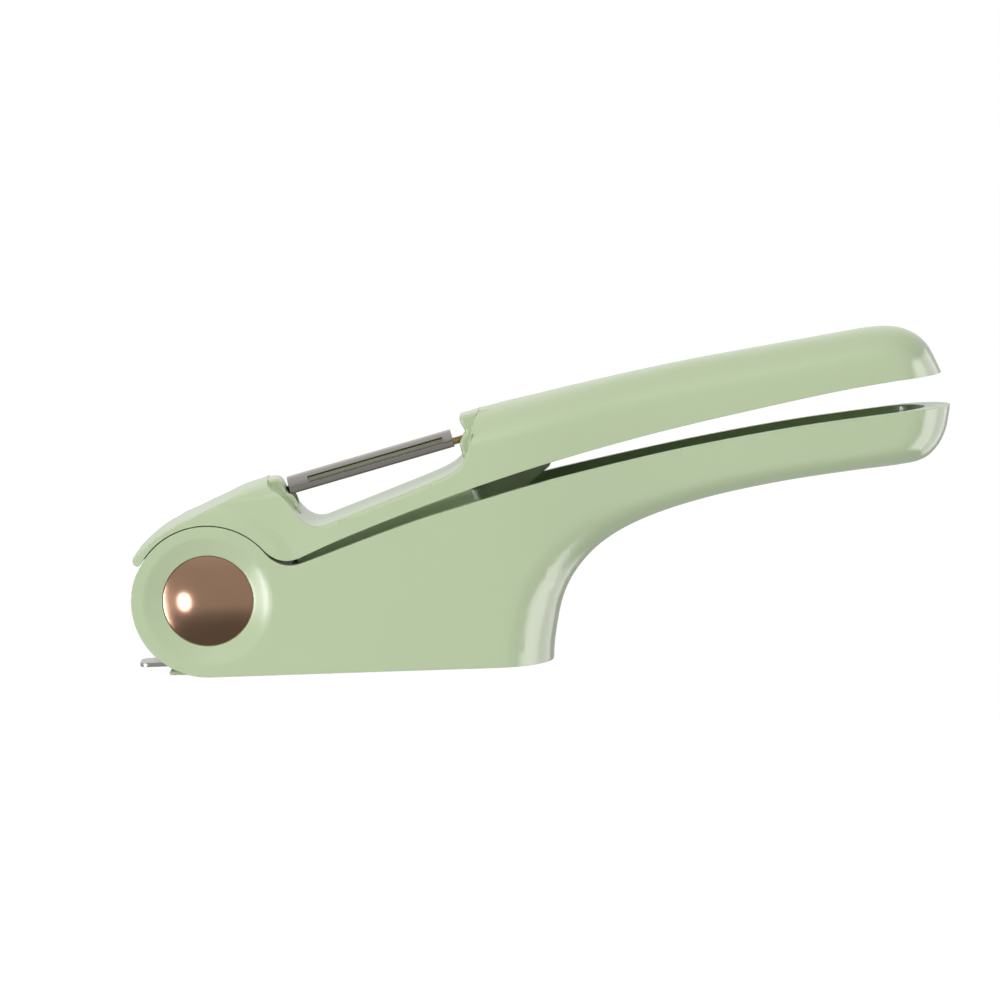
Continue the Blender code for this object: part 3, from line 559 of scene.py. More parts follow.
GREEN_BODY = moulded_plastic("green_body_plastic", (0.475, 0.575, 0.368), (0.49, 0.59, 0.382), 0.21)
GREEN_LEVER = moulded_plastic("green_lever_plastic", (0.485, 0.58, 0.370), (0.50, 0.595, 0.384), 0.21)
# The plunger is the body's green plastic; its slightly darker tone is painted shade for the block that sits
# in the dark gap under the lever
SHADED_GREEN_PLUNGER = moulded_plastic("green_plunger_plastic_painted_shade", (0.45, 0.55, 0.35), (0.47, 0.57, 0.37), 0.25)
COPPER = spun_copper()
# Blade steel: the grey is the steel's own colour, while its extra darkness and brown tint are a painted
# reflection of the warm, dark surroundings that the blade mirrors
STEEL_BLADE_PAINTED_REFLECTION = brushed_steel("blade_steel_painted_reflection", (0.40, 0.37, 0.34), (0.48, 0.45, 0.42), 0.13, (0.06, 1, 1))
STEEL_PLATE = brushed_steel("plate_steel", (0.42, 0.41, 0.38), (0.50, 0.49, 0.46), 0.27, (0.05, 1, 1))
STEEL_TURNED = brushed_steel("turned_steel", (0.55, 0.54, 0.53), (0.65, 0.64, 0.63), 0.25, (1, 0.1, 1))
STEEL_PIN = brushed_steel("pin_steel", (0.60, 0.40, 0.22), (0.74, 0.52, 0.31), 0.3, (1, 0.1, 1))
NYLON = moulded_plastic("nylon", (0.66, 0.64, 0.58), (0.70, 0.68, 0.62), 0.45, NYLON_GRAIN)


# ---------------------------------------------------------------- body

def body_outline():
    """The body and lower handle: base, rounded back, underside, handle end, rim, valley and head."""
    low = BASE
    back = smooth([
        (85.4, low, 71.4, low, 14.0),
        (86.0, -13.0, 72.0, -13.0, 14.0),
        (88.3, -2.9, 75.5, -1.0, 13.0),
        (92.6, 4.9, 83.0, 10.0, 11.0),
        (99.5, 11.4, 93.5, 18.3, 9.5),
        (110.0, 16.6, 107.6, 22.4, 9.2),
        (125.0, 20.9, 123.4, 26.6, 9.4),
        (142.6, 24.1, 141.5, 29.6, 9.6),
        (160.0, 26.2, 159.3, 31.6, 9.8),
        (172.5, 27.3, 170.6, 33.2, 11.0),
        (178.5, 28.4, 172.4, 34.4, 12.0),
        (182.3, 31.2, 173.7, 37.0, 13.0),
        (184.8, 35.6, 174.6, 38.8, 14.0),
        (*RIM_END, *RIM_ROWS[-1], 14.0),
    ])
    valley = arc(VALLEY_CENTRE, VALLEY_RADIUS, VALLEY_END, 180 + VALLEY_ANGLE, 16)
    head = [(radius * x / HEAD_RADIUS, radius * z / HEAD_RADIUS)
            for x, z in arc((0, 0), HEAD_RADIUS, VALLEY_ANGLE, 270, 90)
            for radius in [COLLAR_RADIUS + (HEAD_RADIUS - COLLAR_RADIUS)
                           * smoothstep(*COLLAR_BLEND, math.degrees(math.atan2(z, x)) % 360)]]
    return back + rim()[::-1] + valley[1:] + head[1:]


def trough():
    """The hollow of the lower handle, open at the rim."""
    top = 60.0
    floor = smooth([
        (77.0, -1.0, 77.0, 4.0, 10.0),
        (86.0, 1.5, 83.0, 8.0, 10.0),
        (91.2, 7.2, 87.5, 12.0, 9.5),
        (98.4, 13.6, 94.5, 19.0, 8.5),
        (109.4, 18.9, 107.0, 24.9, 8.0),
        (124.7, 23.3, 123.0, 29.5, 8.2),
        (142.3, 26.5, 141.0, 32.7, 8.6),
        (159.8, 28.6, 158.8, 34.8, 8.8),
        (170.0, 29.6, 167.0, 36.0, 9.4),
        (174.6, 30.8, 168.4, 37.0, 10.2),
        (177.4, 33.4, 169.2, 38.6, 11.0),
        (179.0, 37.2, 169.7, 40.6, 12.0),
        (179.8, 42.2, 170.0, 42.2, 12.0),
    ])
    return slab([*floor, (179.8, top, 170.0, top, 12.0), (70.0, top), (70.0, REAR_WALL_TOP),
                 (77.0, REAR_WALL_TOP)], BODY_HALF - TROUGH_WALL)


def back_pocket():
    """The hollow inside the body's rounded back, below the trough."""
    floor = BASE + WALL
    wall = smooth([(83.0, floor, 79.5, floor, 9.0), (83.6, -13.0, 80.0, -13.0, 9.0),
                   (86.0, -2.6, 82.0, -1.0, 9.0), (88.4, 2.5, 84.0, 5.0, 9.0)])
    return slab([(77.0, floor), *wall, (84.0, 8.0), (77.0, 8.0)], 9.5)


def chamber(front, rear, half_width, floor):
    """The space between two arcs about the hinge axis, open above the rim."""
    return slab([*arc((0, 0), rear, angle_at(floor, rear), 30, 40),
                 *arc((0, 0), front, 45, angle_at(floor, front), 30)], half_width)


def drum_slot():
    """The slot between the head's cheeks in which the lever's drum and web swing."""
    depth = DRUM_RADIUS + 0.4
    reach = HEAD_RADIUS + 6
    return slab([*arc((0, 0), reach, SLOT_START, SLOT_END, 60),
                 *arc((0, 0), depth, SLOT_END, SLOT_START + 360, 80)], SLOT_HALF)


def cap_recess(side):
    """The dish around a hinge cap, the cap's flat seat and the axle's bore."""
    face, brim, drop, seat = BODY_HALF, 0.5, 0.2, CAP_RADIUS + GAP
    slope = [(DISH_RADIUS + brim, face + 0.003), (DISH_RADIUS, face - 0.07),
             (DISH_RADIUS - brim, face - drop)]
    for share in (0.25, 0.5, 0.75, 1.0):
        radius = DISH_RADIUS - brim + (seat - DISH_RADIUS + brim) * share
        slope.append((radius, face - drop - (DISH_DEPTH - drop) * share ** 0.92))
    rows = [(0.0, face + 2), (DISH_RADIUS + brim, face + 2), *slope, (seat, CAP_FLOOR),
            (AXLE_RADIUS + GAP, CAP_FLOOR), (AXLE_RADIUS + GAP, SLOT_HALF - 2), (0.0, SLOT_HALF - 2)]
    return turned([(radius, side * along) for radius, along in rows], 128)


def make_body():
    """The one-piece body and lower handle."""
    lip = slab([(-10.4, PLATE_BOTTOM - 0.6), (-10.1, BASE + 0.5), (-5.0, BASE + 0.4), (2.0, BASE + 0.1),
                (2.0, BASE + 1.5), (-10.1, PLATE_BOTTOM - GAP)], PLATE_HALF + 0.8)
    well = GAP + LINER_WALL + PLUNGER_GAP
    floor = PLATE_TOP + GAP - 0.1
    steps = [
        ("UNION", lip),
        ("DIFFERENCE", trough()),
        ("DIFFERENCE", back_pocket()),
        ("DIFFERENCE", chamber(PLUNGER_FRONT - well, PLUNGER_REAR + well, LINER_HALF + GAP, floor)),
        ("DIFFERENCE", block((-40, -PLATE_HALF - GAP, PLATE_BOTTOM - GAP),
                             (PLATE_END + GAP, PLATE_HALF + GAP, PLATE_TOP + GAP))),
        ("DIFFERENCE", plan_plate(rounded_plan(*WINDOW, WINDOW_HALF, 3.0), BASE - 5, PLATE_BOTTOM)),
        ("DIFFERENCE", drum_slot()),
        ("DIFFERENCE", cap_recess(-1)),
        ("DIFFERENCE", cap_recess(1)),
    ]
    body = shaped("body_moulding", slab(body_outline(), BODY_HALF), steps)
    dress(body, "press_body", GREEN_BODY, ["body_shell"])


def make_chamber_liner():
    """The stainless sleeve that lines the press chamber, open above and below."""
    wall = LINER_WALL + PLUNGER_GAP
    floor = PLATE_TOP + 2 * GAP
    front, rear = PLUNGER_FRONT - wall, PLUNGER_REAR + wall
    below_rim, front_top = 1.2, 17
    upper = [point for point in lowered(rim(), below_rim) if 24.5 < point[0] < 62.0]
    rows = [*arc((0, 0), rear, angle_at(floor, rear), angle_at(REAR_WALL_TOP, rear), 30),
            (upper[-1][0] + 1.0, REAR_WALL_TOP), *upper[::-1],
            *arc((0, 0), front, front_top, angle_at(floor, front), 24)]
    inside = chamber(PLUNGER_FRONT - PLUNGER_GAP, PLUNGER_REAR + PLUNGER_GAP, PLUNGER_HALF + PLUNGER_GAP,
                     floor - 3)
    liner = shaped("liner_sleeve", slab(rows, LINER_HALF), [("DIFFERENCE", inside)])
    dress(liner, "press_body", STEEL_PLATE, ["chamber_liner"], SHEET_EDGE_RADIUS)


# ---------------------------------------------------------------- hinge

def make_hinge_caps():
    """Slightly domed copper caps with a narrow chamfered rim."""
    seat, rim_height = CAP_FLOOR + GAP, BODY_HALF - 0.02 - CAP_DOME
    stem, stem_end = AXLE_BORE - GAP, 3.0
    flange, chamfer, dome_steps = CAP_RADIUS + 0.2, 0.15, 24
    for side, label in ((-1, "near"), (1, "far")):
        cap = [(0.0, stem_end), (stem, stem_end), (stem, seat), (flange, seat),
               (flange, rim_height - chamfer), (flange - 0.04, rim_height - 0.04),
               (flange - chamfer, rim_height)]
        for i in range(dome_steps - 1, -1, -1):
            share = i / dome_steps
            cap.append(((flange - chamfer) * share, rim_height + CAP_DOME * (1 - share ** 2)))
        obj = object_of(f"copper_cap_{label}", turned([(radius, side * y) for radius, y in cap], 128))
        dress(obj, "press_body", COPPER, [f"hinge_cap_{label}"], 0.0)


# ---------------------------------------------------------------- lever

def lever_outline():
    """The lever without its notch: inside of the hood, lower edge, handle end, crowned top and lip."""
    hood_arc = arc((0, 0), HOOD_INNER, LIP_ANGLE, VALLEY_ANGLE + REST_OPEN, 60)
    valley = turned_about_hinge(
        arc(VALLEY_CENTRE, VALLEY_RADIUS - GAP, 180 + VALLEY_ANGLE, VALLEY_END, 16), REST_OPEN)
    edge = lever_edge()
    handle_end = smooth([
        (184.0, 49.9, *edge[-1], 14.0),
        (182.3, 53.8, 173.0, 50.6, 14.0),
        (180.3, 57.3, 172.4, 51.8, 14.0),
        (177.1, 60.0, 171.0, 52.8, 14.0),
        (172.5, 61.6, 168.4, 53.4, 14.0),
        (166.0, 61.6, 164.0, 53.2, 14.0),
        (154.0, 59.9, 154.0, 51.4, 14.0),
        (139.0, 57.7, 139.5, 49.2, 14.0),
        (124.0, 55.5, 124.8, 47.0, 14.0),
        (109.0, 52.9, 110.0, 44.4, 14.0),
        (94.0, 50.0, 95.4, 41.5, 14.0),
        (82.0, 47.5, 83.6, 39.1, 14.0),
        (70.2, 44.9, 71.8, 36.6, 14.0),
        (40.0, 36.5, 40.0, 30.0, 14.0),
        (16.0, 29.6, 15.0, 24.4, 14.0),
    ])
    hood = smooth([
        (13.8, 28.7, 13.2, 24.6, 14.0),
        (11.6, 28.0, 11.2, 24.8, 12.5),
        (9.6, 27.2, 9.4, 24.6, 10.0),
        (7.4, 26.1, 7.4, 24.4, 6.5),
        (5.0, 24.7, 5.1, 24.0, 2.4),
        (2.4, 23.45, 2.5, 23.1, 0.8),
        (0.0, 22.4, 0.0, 22.1, 0.8),
        (-1.7, 21.85, -1.6, 21.3, 6.0),
        (-3.6, 21.25, -3.4, 20.5, 12.0),
        (-6.5, 20.2, -6.2, 19.35, 14.0),
    ])
    crown = []
    for i in range(25):
        angle = CROWN_START + (LIP_ANGLE - 1.5 - CROWN_START) * i / 24
        grown = 0.55 * smoothstep(128.0, 150.0, angle)
        crown.append((*polar(HOOD_OUTER + grown, angle), *polar(HOOD_OUTER + grown - 0.8, angle),
                      14.0 - 9.0 * smoothstep(140.0, 149.0, angle)))
    lip = []
    for outer, inner, angle, depth in ((2.25, 1.5, LIP_ANGLE, 4.0), (1.6, 1.2, LIP_ANGLE + 1.3, 2.0),
                                       (0.8, 0.8, LIP_ANGLE + 1.5, 1.0)):
        lip.append((*polar(HOOD_INNER + outer, angle), *polar(HOOD_INNER + inner, angle - 0.6), depth))
    lip.append(polar(HOOD_INNER + 0.3, LIP_ANGLE + 0.9))
    return hood_arc + valley[1:] + edge[1:] + handle_end + hood + crown + lip


def blade_notch():
    """The notch cut through the lever's top for the blade, as a side outline."""
    floor = smooth([
        (15.2, 29.6),
        (15.9, 27.9),
        (17.6, 26.6),
        (19.6, 25.2),
        (21.2, 23.1),
        (23.0, 20.6),
        (25.2, 18.6),
        (28.4, 17.8),
        (34.0, 19.6),
        (46.7, 24.2),
        (57.0, 28.0),
        (61.2, 29.9),
        (63.7, 31.8),
        (65.0, 34.2),
        (65.7, 36.2),
        (66.2, 38.4),
        (66.8, 40.6),
        (67.7, 42.8),
        (69.1, 45.4),
    ], 5)
    above = 60.0
    return slab([*floor, (69.3, above), (13.5, above), (13.5, 40.0)], BODY_HALF + 1.0)


def notch_share(point):
    """The share of the wide edge radius at a point of the lever: all of it along the notch's open sides."""
    x, y, z = point
    rise = (x - 28.0) * 0.33
    outer = abs(y) > 9.0 and 17.0 + rise < z < 30.0 + rise
    return smoothstep(24.0, 29.0, x) * (1 - smoothstep(33.5, 37.0, z)) if outer else 0.0


def step_in(bm):
    """Steps the lever's sides in beyond the proud band around the head."""
    cut_across(bm, range(-8, 34), (1, 0, 0))
    cut_across(bm, range(12, 28), (0, 0, 1))
    for vert in bm.verts:
        x, z = vert.co.x, vert.co.z
        radius = math.hypot(x, z)
        beyond = smoothstep(BAND_RADIUS, BAND_RADIUS + BAND_BLEND, radius)
        vert.co.y *= 1 - BAND_STEP * beyond * (1 - smoothstep(18.0, 36.0, x))
    return bm


def lever_hollow():
    """The hollow of the lever's handle, open at its lower edge."""
    low = 15.0
    ceiling = smooth([
        (181.6, 49.6, 170.6, 49.6, 12.0),
        (179.4, 54.6, 170.0, 50.4, 12.0),
        (176.0, 57.6, 168.8, 51.0, 12.0),
        (172.0, 58.9, 167.0, 51.2, 12.0),
        (165.0, 59.0, 163.4, 51.0, 12.0),
        (139.0, 55.1, 139.4, 47.0, 12.0),
        (109.0, 50.3, 110.0, 42.2, 12.0),
        (92.0, 47.0, 93.4, 39.0, 12.0),
    ])
    return slab([(181.6, low, 170.6, low, 12.0), *ceiling, (90.0, 40.0), (90.0, low)], BODY_HALF - WALL)


def nose_front():
    """The narrow rib at the notch's front end, which holds the blade's front pin."""
    rows = smooth([
        (8.0, 25.4, 8.0, 24.4, 1.6),
        (10.4, 27.3, 10.4, 26.4, 1.6),
        (14.0, 28.4, 14.0, 27.5, 1.6),
        (17.2, 29.1, 17.0, 28.2, 1.6),
        (18.7, 28.5, 18.1, 27.8, 1.4),
        (19.6, 27.0, 18.9, 26.6, 1.2),
        (20.3, 25.6, 19.6, 25.1, 1.2),
        (21.6, 24.9, 20.9, 24.1, 1.2),
        (22.4, 23.6, 21.7, 23.2, 1.2),
        (23.2, 21.2, 22.5, 20.9, 1.2),
        (24.0, 19.0, 23.3, 18.7, 1.2),
    ])
    return slab([*rows[::-1], (8.0, 20.4), (20.0, 16.4)][::-1], RIB_HALF)


def nose_rear():
    """The narrow rib at the notch's rear end, which holds the blade's rear pin."""
    rows = smooth([
        (74.0, 45.2, 74.0, 44.4, 1.8),
        (70.4, 44.8, 70.4, 44.0, 1.8),
        (66.4, 43.8, 66.5, 43.0, 1.8),
        (64.0, 43.1, 64.5, 42.4, 1.4),
        (63.8, 41.8, 64.6, 41.6, 1.2),
        (65.0, 39.2, 65.8, 39.1, 1.2),
        (64.3, 37.8, 65.1, 37.7, 1.2),
        (63.6, 36.4, 64.4, 36.2, 1.2),
        (64.0, 34.0, 64.8, 33.8, 1.2),
        (64.8, 31.4, 65.6, 31.0, 1.2),
    ])
    return slab([*rows, (70.0, 30.0), (76.0, 34.0)], RIB_HALF)


def blade_matrix():
    """Carries +Z onto the peeler's axis, away from the front pin hole, with +X across the blade."""
    cos, sin = math.cos(math.radians(BLADE_TILT)), math.sin(math.radians(BLADE_TILT))
    return Matrix((
        (0, -sin, cos, BLADE_FRONT[0]),
        (1, 0, 0, 0),
        (0, cos, sin, BLADE_FRONT[1]),
        (0, 0, 0, 1),
    ))


def make_lever():
    """The upper handle with its hood, hinge drum, blade notch and pin ribs."""
    web_start, web_end = 44.0, 147.0
    web = slab([*arc((0, 0), HOOD_INNER + 0.9, web_start, web_end, 50),
                *arc((0, 0), 8.0, web_end, web_start, 30)], DRUM_HALF)
    beyond = 20
    half_bore = [(0, beyond), (BUSH_FLANGE_HOLE, beyond), (BUSH_FLANGE_HOLE, BUSH_SHOULDER),
                 (BUSH_HOLE, BUSH_SHOULDER)]
    bore = [(radius, -along) for radius, along in half_bore] + half_bore[::-1]
    steps = [
        ("DIFFERENCE", lever_hollow()),
        ("DIFFERENCE", blade_notch()),
        ("UNION", nose_front()),
        ("UNION", nose_rear()),
        ("UNION", web),
        ("UNION", rod(DRUM_RADIUS, -DRUM_HALF, DRUM_HALF, 96)),
        ("DIFFERENCE", turned(bore, 64)),
        ("DIFFERENCE", rod(BLADE_SWEEP, BLADE_START - 0.4, BLADE_SWEEP_END, 64, blade_matrix())),
    ]
    for start, end in ((-PIN_HOLE_DEPTH - GAP, BLADE_START),
                       (BLADE_SPAN - 3.0, BLADE_SPAN + PIN_HOLE_DEPTH)):
        steps.append(("DIFFERENCE", rod(PIN_RADIUS + GAP, start, end, 24, blade_matrix())))
    for x, z in LEVER_SCREWS:
        steps.append(("DIFFERENCE", rod(LEVER_SCREW_HOLE, z - 5, z + 3.2, 24, upright(x))))
    lever = shaped("lever_moulding", step_in(slab(lever_outline(), BODY_HALF)), steps)
    dress(lever, "lever", GREEN_LEVER, ["lever_shell"],
          wide_edge=NOTCH_EDGE_RADIUS, wide_share=notch_share)


# ---------------------------------------------------------------- plunger

def make_plunger():
    """The press block below the lever, with its tail, its hollow and the screws' holes."""
    floor = PLUNGER_BOTTOM
    rear_top, front_top = 20.4, 21.5
    top = [point for point in lowered(lever_edge(), 0.06) if 24.0 < point[0] < 66.0]
    rear = [(x, z, x * (1 - PLUNGER_ROUND / PLUNGER_REAR), z, PLUNGER_ROUND)
            for x, z in arc((0, 0), PLUNGER_REAR, angle_at(floor, PLUNGER_REAR), rear_top, 30)]
    front = arc((0, 0), PLUNGER_FRONT, front_top, angle_at(floor, PLUNGER_FRONT), 24)
    tail = slab([(62.0, 22.4), (76.4, 22.4), (85.6, 29.9), (86.2, 31.1), (76.0, 28.3), (64.0, 24.4)], 5.0)
    hollow = slab([(27.2, floor - 5), (63.4, floor - 5), (63.4, 20.6), (27.2, 8.4)], 8.1)
    steps = [("UNION", tail), ("DIFFERENCE", hollow)]
    for x, z in LEVER_SCREWS:
        hole = [(0, z - 25), (LEVER_SCREW_HEAD_HOLE, z - 25), (LEVER_SCREW_HEAD_HOLE, z - 3.0),
                (LEVER_SCREW_HOLE + 0.1, z - 3.0), (LEVER_SCREW_HOLE + 0.1, z + 5), (0, z + 5)]
        steps.append(("DIFFERENCE", turned(hole, 24, upright(x))))
    for x, y in PLATE_SCREWS:
        steps.append(("DIFFERENCE", rod(PLATE_SCREW_STEM + 0.2, floor - 1, floor + 5, 24, upright(x, y))))
    plunger = shaped("plunger_moulding", slab([*rear, *top[::-1], *front], PLUNGER_HALF), steps)
    # The plunger's darker green is painted shade, not a different plastic
    dress(plunger, "lever", SHADED_GREEN_PLUNGER, ["press_block"])


def make_press_plate():
    """The stainless face plate below the press block, with its countersunk holes."""
    bottom, top = PRESS_PLATE_BOTTOM, PRESS_PLATE_TOP
    wide, narrow = PLATE_SCREW_HEAD + 0.4, PLATE_SCREW_STEM + 0.3
    hole = [(0, bottom - 1), (wide, bottom - 1), (wide, bottom), (narrow, top), (narrow, top + 1),
            (0, top + 1)]
    steps = [("DIFFERENCE", turned(hole, 48, upright(x, y))) for x, y in PLATE_SCREWS]
    face = plan_plate(rounded_plan(19.4, 69.4, PLUNGER_HALF - 0.1, 2.5), bottom, top)
    dress(shaped("plunger_face", face, steps), "lever", STEEL_PLATE, ["press_plate"],
          SHEET_EDGE_RADIUS)


def make_plate_screws():
    """The four cross-slotted screws of the press plate, each turned a little differently."""
    low, end = PRESS_PLATE_BOTTOM + 0.05, PLUNGER_BOTTOM + PLATE_SCREW_LENGTH
    rows = [(0, low), (PLATE_SCREW_HEAD, low), (PLATE_SCREW_STEM, PRESS_PLATE_TOP - 0.05),
            (PLATE_SCREW_STEM, end), (0, end)]
    reach, half, deep = PLATE_SCREW_SLOT
    for number, (x, y) in enumerate(PLATE_SCREWS, 1):
        place = upright(x, y) @ Matrix.Rotation(0.5 * number, 4, "Z")
        steps = []
        for half_x, half_y in ((reach, half), (half, reach)):
            slot = block((-half_x, -half_y, low - 1), (half_x, half_y, low + deep))
            slot.transform(place)
            steps.append(("DIFFERENCE", slot))
        screw = shaped(f"plate_screw_{number}", turned(rows, 48, place), steps)
        dress(screw, "lever", STEEL_TURNED, [f"press_plate_screw_{number}"], 0.05)


# ---------------------------------------------------------------- sieve plate

def make_sieve_plate():
    """The slide-out stainless sieve, with a narrow pull tab at the front."""
    shoulder, step, tab_corner, corner = -4.0, 3.0, 2.2, 1.0
    near = [*arc((TAB_END + tab_corner, tab_corner - TAB_HALF), tab_corner, 180, 270, 10),
            (shoulder - step, -TAB_HALF), *arc((shoulder, corner - PLATE_HALF), corner, 180, 270, 6),
            *arc((PLATE_END - corner, corner - PLATE_HALF), corner, 270, 360, 6)]
    rows = near + [(x, -y) for x, y in near[::-1]]
    middle = sum(WINDOW) / 2
    holes = []
    for row in range(HOLE_ROWS):
        y = (row - (HOLE_ROWS - 1) / 2) * HOLE_PITCH
        for column in range(HOLE_COLUMNS):
            x = middle + (column - (HOLE_COLUMNS - 1) / 2) * HOLE_PITCH
            holes.append(rod(HOLE_RADIUS, PLATE_BOTTOM - 1, PLATE_TOP + 1, 20, upright(x, y)))
    plate = shaped("sieve_sheet", plan_plate(rows, PLATE_BOTTOM, PLATE_TOP),
                   [("DIFFERENCE", merged(*holes))])
    dress(plate, "sieve", STEEL_PLATE, ["sieve_plate"], SHEET_EDGE_RADIUS)


# ---------------------------------------------------------------- peeler blade

def make_blade():
    """The stainless blade: a C-shaped trough with a slot, a raised cutting edge and two walled ends."""
    centre = (0, -BLADE_DROP)
    inner = BLADE_RADIUS - BLADE_THICK
    start, end = BLADE_START, BLADE_START + BLADE_LENGTH
    one_side, other_side = 90 - BLADE_FAR, 90 + BLADE_NEAR
    turn = blade_matrix() @ Matrix.Rotation(math.radians(BLADE_LEAN), 4, "Z")

    def prism(rows, bottom, top):
        """An outline of the blade's section, drawn out along its axis."""
        bm = plan_plate(rows, bottom, top)
        bm.transform(turn)
        return bm

    outside = arc(centre, BLADE_RADIUS, one_side, other_side, 72) + arc((0, 0), BLADE_EYE, 165, 285, 16)
    # The hollow runs out through the open side of the C
    clear = BLADE_RADIUS + 2.5
    hollow = [*arc(centre, inner, one_side, other_side, 72), polar(clear, other_side, centre), (-8, -3),
              (-3, -8), polar(clear, one_side, centre)]
    half = BLADE_SLOT_HALF
    crest, foot = BLADE_RADIUS - BLADE_DROP, half + 0.5
    cutting_edge = [(-half, crest - 0.3), (-half, crest + 0.28), (-foot, crest - 0.1), (-foot, crest - 0.3)]
    slot = [(-half, 0), (-half, clear), (half, clear), (half, 0)]
    steps = [("DIFFERENCE", prism(hollow, start + BLADE_END_WALL, end - BLADE_END_WALL)),
             ("UNION", prism(cutting_edge, *BLADE_SLOT)),
             ("DIFFERENCE", prism(slot, *BLADE_SLOT)),
             ("DIFFERENCE", rod(PIN_RADIUS + 0.04, 0, BLADE_SPAN, 24, blade_matrix()))]
    strip = shaped("blade_strip", prism(outside, start, end), steps)
    # The blade's dark brown steel tint is partly a painted reflection
    dress(strip, "blade", STEEL_BLADE_PAINTED_REFLECTION, ["peeler_blade"], SHEET_EDGE_RADIUS)


def make_blade_pins():
    """The blade's two pins, each with its head inside the blade's end wall and its tail in a rib."""
    head = BLADE_END_WALL + 0.2
    rows = [(0, -PIN_TAIL), (PIN_RADIUS - 0.2, -PIN_TAIL), (PIN_RADIUS, 0.2 - PIN_TAIL), (PIN_RADIUS, head),
            (PIN_HEAD - 0.1, head), (PIN_HEAD, head + 0.1), (PIN_HEAD, head + 0.4),
            (PIN_HEAD - 0.3, head + 0.6), (0, head + 0.6)]
    for label, origin, way in (("front", BLADE_START, 1), ("rear", BLADE_START + BLADE_LENGTH, -1)):
        pin = turned([(radius, origin + way * along) for radius, along in rows], 32, blade_matrix())
        dress(object_of(f"swivel_pin_{label}", pin), "blade", STEEL_PIN,
              [f"blade_pin_{label}"], 0.0)


# ---------------------------------------------------------------- nodes kept from the frame

def finish_kept_nodes():
    """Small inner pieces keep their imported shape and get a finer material."""
    finishes = {"hinge_axle": STEEL_TURNED, "thrust_washer_near": NYLON, "thrust_washer_far": NYLON,
                "hinge_bush_near": NYLON, "hinge_bush_far": NYLON, "press_block_screw_front": STEEL_TURNED,
                "press_block_screw_rear": STEEL_TURNED}
    for name, finish in finishes.items():
        for material_slot in frame["nodes"][name].material_slots:
            material_slot.material = finish


# ---------------------------------------------------------------- studio

# Brightness, by the sine of the elevation: what polish mirrors of the room in front of the press and of the
# sweep behind it, and the soft fill on the rest
FRONT_LEVELS = ((-1.0, 0.13), (-0.5, 0.14), (-0.36, 0.2), (-0.2, 0.4), (0.35, 0.42), (0.65, 0.55),
                (1.0, 0.75))
FILL_LEVELS = ((-1.0, 0.35), (-0.42, 0.5), (-0.28, 0.09), (0.28, 0.08), (0.42, 0.62), (1.0, 0.75))
BACK_LEVELS = ((-1.0, 0.3), (-0.3, 0.5), (0.0, 0.8), (0.5, 1.1), (1.0, 0.7))
BACK_BLEND = (-0.15, 0.30)
BOX_COLOUR = (1.0, 0.93, 1.03)
FLOOR_GLOW = 0.965
VIEW_CENTRE = (73.11, 0, 21.37)
VIEW_RISE = 6.4
VIEW_ROLL = 1.9
VIEW_DISTANCE = 1.0


def softbox(name, azimuth, elevation, distance, spread, radiance, diffuse=False, shape="RECTANGLE"):
    """A rectangular or round softbox that faces the press: either mirrored by it or only lighting it.

    Azimuth is measured from the front towards the handles' end. spread is the angle that the box covers,
    sideways and upwards, as seen from the press.
    """
    target = Vector((HINGE.x + 0.07, 0, 0.03))
    side, rise = math.radians(azimuth), math.radians(elevation)
    away = Vector((math.sin(side) * math.cos(rise), -math.cos(side) * math.cos(rise), math.sin(rise)))
    light = bpy.data.lights.new(name, "AREA")
    light.shape = shape
    if not diffuse:
        light.color = BOX_COLOUR
    light.size, light.size_y = (2 * distance * math.tan(math.radians(angle / 2)) for angle in spread)
    light.energy = radiance * math.pi * light.size * light.size_y
    obj = bpy.data.objects.new(name, light)
    obj.location = target + away * distance
    obj.rotation_euler = away.to_track_quat("Z", "Y").to_euler()
    obj.visible_camera = False
    obj.visible_diffuse = diffuse
    obj.visible_glossy = not diffuse
    bpy.context.scene.collection.objects.link(obj)


def levels(tree, value, stops):
    """A ramp of grey levels over the sine of the elevation."""
    place = tree.nodes.new("ShaderNodeMapRange")
    place.inputs["From Min"].default_value = -1.0
    tree.links.new(value, place.inputs["Value"])
    node = tree.nodes.new("ShaderNodeValToRGB")
    tree.links.new(place.outputs["Result"], node.inputs["Fac"])
    ends = node.color_ramp.elements
    for stop, (height, level) in zip((ends[0], ends[1]), (stops[0], stops[-1])):
        stop.position, stop.color = (height + 1) / 2, (level, level, level, 1)
    for height, level in stops[1:-1]:
        stop = ends.new((height + 1) / 2)
        stop.color = (level, level, level, 1)
    return node.outputs["Color"]


def make_world():
    """A grey room in front of the press, a bright sweep behind it, soft fill, and white to the eye."""
    world = bpy.data.worlds.new("studio")
    world.use_nodes = True
    tree = world.node_tree
    coords = tree.nodes.new("ShaderNodeTexCoord")
    split = tree.nodes.new("ShaderNodeSeparateXYZ")
    tree.links.new(coords.outputs["Generated"], split.inputs["Vector"])
    behind = tree.nodes.new("ShaderNodeMapRange")
    behind.interpolation_type = "SMOOTHSTEP"
    behind.inputs["From Min"].default_value, behind.inputs["From Max"].default_value = BACK_BLEND
    tree.links.new(split.outputs["Y"], behind.inputs["Value"])
    front, back, fill = (levels(tree, split.outputs["Z"], stops)
                         for stops in (FRONT_LEVELS, BACK_LEVELS, FILL_LEVELS))
    ray = tree.nodes.new("ShaderNodeLightPath")
    room = mixed(tree, behind.outputs["Result"], front, back)
    lit = mixed(tree, ray.outputs["Is Diffuse Ray"], room, fill)
    seen = mixed(tree, ray.outputs["Is Camera Ray"], lit, (1, 1, 1, 1))
    tree.links.new(seen, tree.nodes["Background"].inputs["Color"])
    bpy.context.scene.world = world


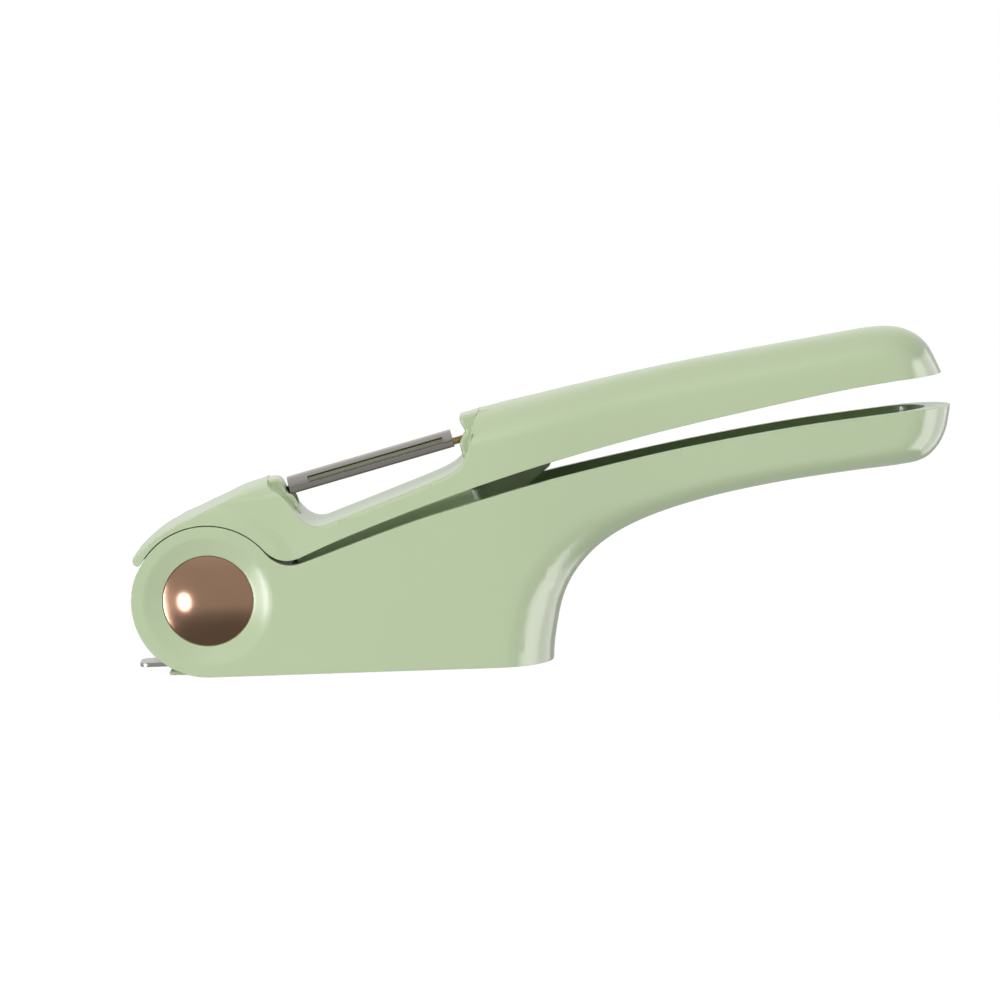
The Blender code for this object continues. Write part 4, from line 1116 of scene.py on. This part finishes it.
def make_floor():
    """A wide, plain, white sweep just below the press's base, which glows almost white by itself."""
    bm = bmesh.new()
    bmesh.ops.create_circle(bm, cap_ends=True, segments=96, radius=3.0)
    mesh = bpy.data.meshes.new("floor")
    bm.to_mesh(mesh)
    bm.free()
    floor = bpy.data.objects.new("floor", mesh)
    floor.location.z = -0.00005
    bpy.context.scene.collection.objects.link(floor)
    material, tree, shader = principled("floor_paper")
    tree.links.new(ramp(tree, noise(tree, 3.0), (0.055, 0.055, 0.055), (0.06, 0.06, 0.06)),
                   shader.inputs["Base Color"])
    shader.inputs["Roughness"].default_value = 0.9
    shader.inputs["Specular IOR Level"].default_value = 0.0
    shader.inputs["Emission Color"].default_value = (1, 1, 1, 1)
    shader.inputs["Emission Strength"].default_value = FLOOR_GLOW
    mesh.materials.append(material)
    floor.visible_diffuse = floor.visible_glossy = floor.visible_transmission = floor.visible_shadow = False


def make_camera():
    """A side view from a little above the press, rolled so that the base rises slightly to the right."""
    centre = HINGE + Vector(VIEW_CENTRE) * MM
    elevation, roll = math.radians(VIEW_RISE), math.radians(VIEW_ROLL)
    camera = bpy.data.cameras.new("camera")
    camera.lens = 144.0
    camera.sensor_width = 36.0
    camera.clip_start, camera.clip_end = 0.01, 20.0
    obj = bpy.data.objects.new("camera", camera)
    turn = Matrix.Rotation(math.radians(90) - elevation, 4, "X") @ Matrix.Rotation(-roll, 4, "Z")
    away = Vector((0, -math.cos(elevation), math.sin(elevation))) * VIEW_DISTANCE
    obj.matrix_world = Matrix.Translation(centre + away) @ turn
    bpy.context.scene.collection.objects.link(obj)
    bpy.context.scene.camera = obj


def make_studio():
    """The lights, the room, the floor and the camera."""
    softbox("softbox_near_left", -28.0, -7.5, 1.3, (11.0, 15.0), 4.2, shape="ELLIPSE")
    softbox("softbox_left", -53.0, -11.0, 1.3, (13.0, 34.0), 18.0)
    softbox("wall_right_front", 70.0, -10.0, 1.0, (34.0, 66.0), 6.0)
    softbox("wall_right", 109.0, -10.0, 1.0, (44.0, 66.0), 3.0)
    softbox("key", -30.0, 40.0, 1.3, (50.0, 24.0), 4.3, diffuse=True)
    softbox("bounce", -10.0, -38.0, 1.3, (60.0, 24.0), 3.4, diffuse=True)
    settings = bpy.context.scene.view_settings
    settings.view_transform = "Standard"
    settings.look = "None"
    make_world()
    make_floor()
    make_camera()


make_body()
make_chamber_liner()
make_hinge_caps()
make_lever()
make_plunger()
make_press_plate()
make_plate_screws()
make_sieve_plate()
make_blade()
make_blade_pins()
finish_kept_nodes()
make_studio()
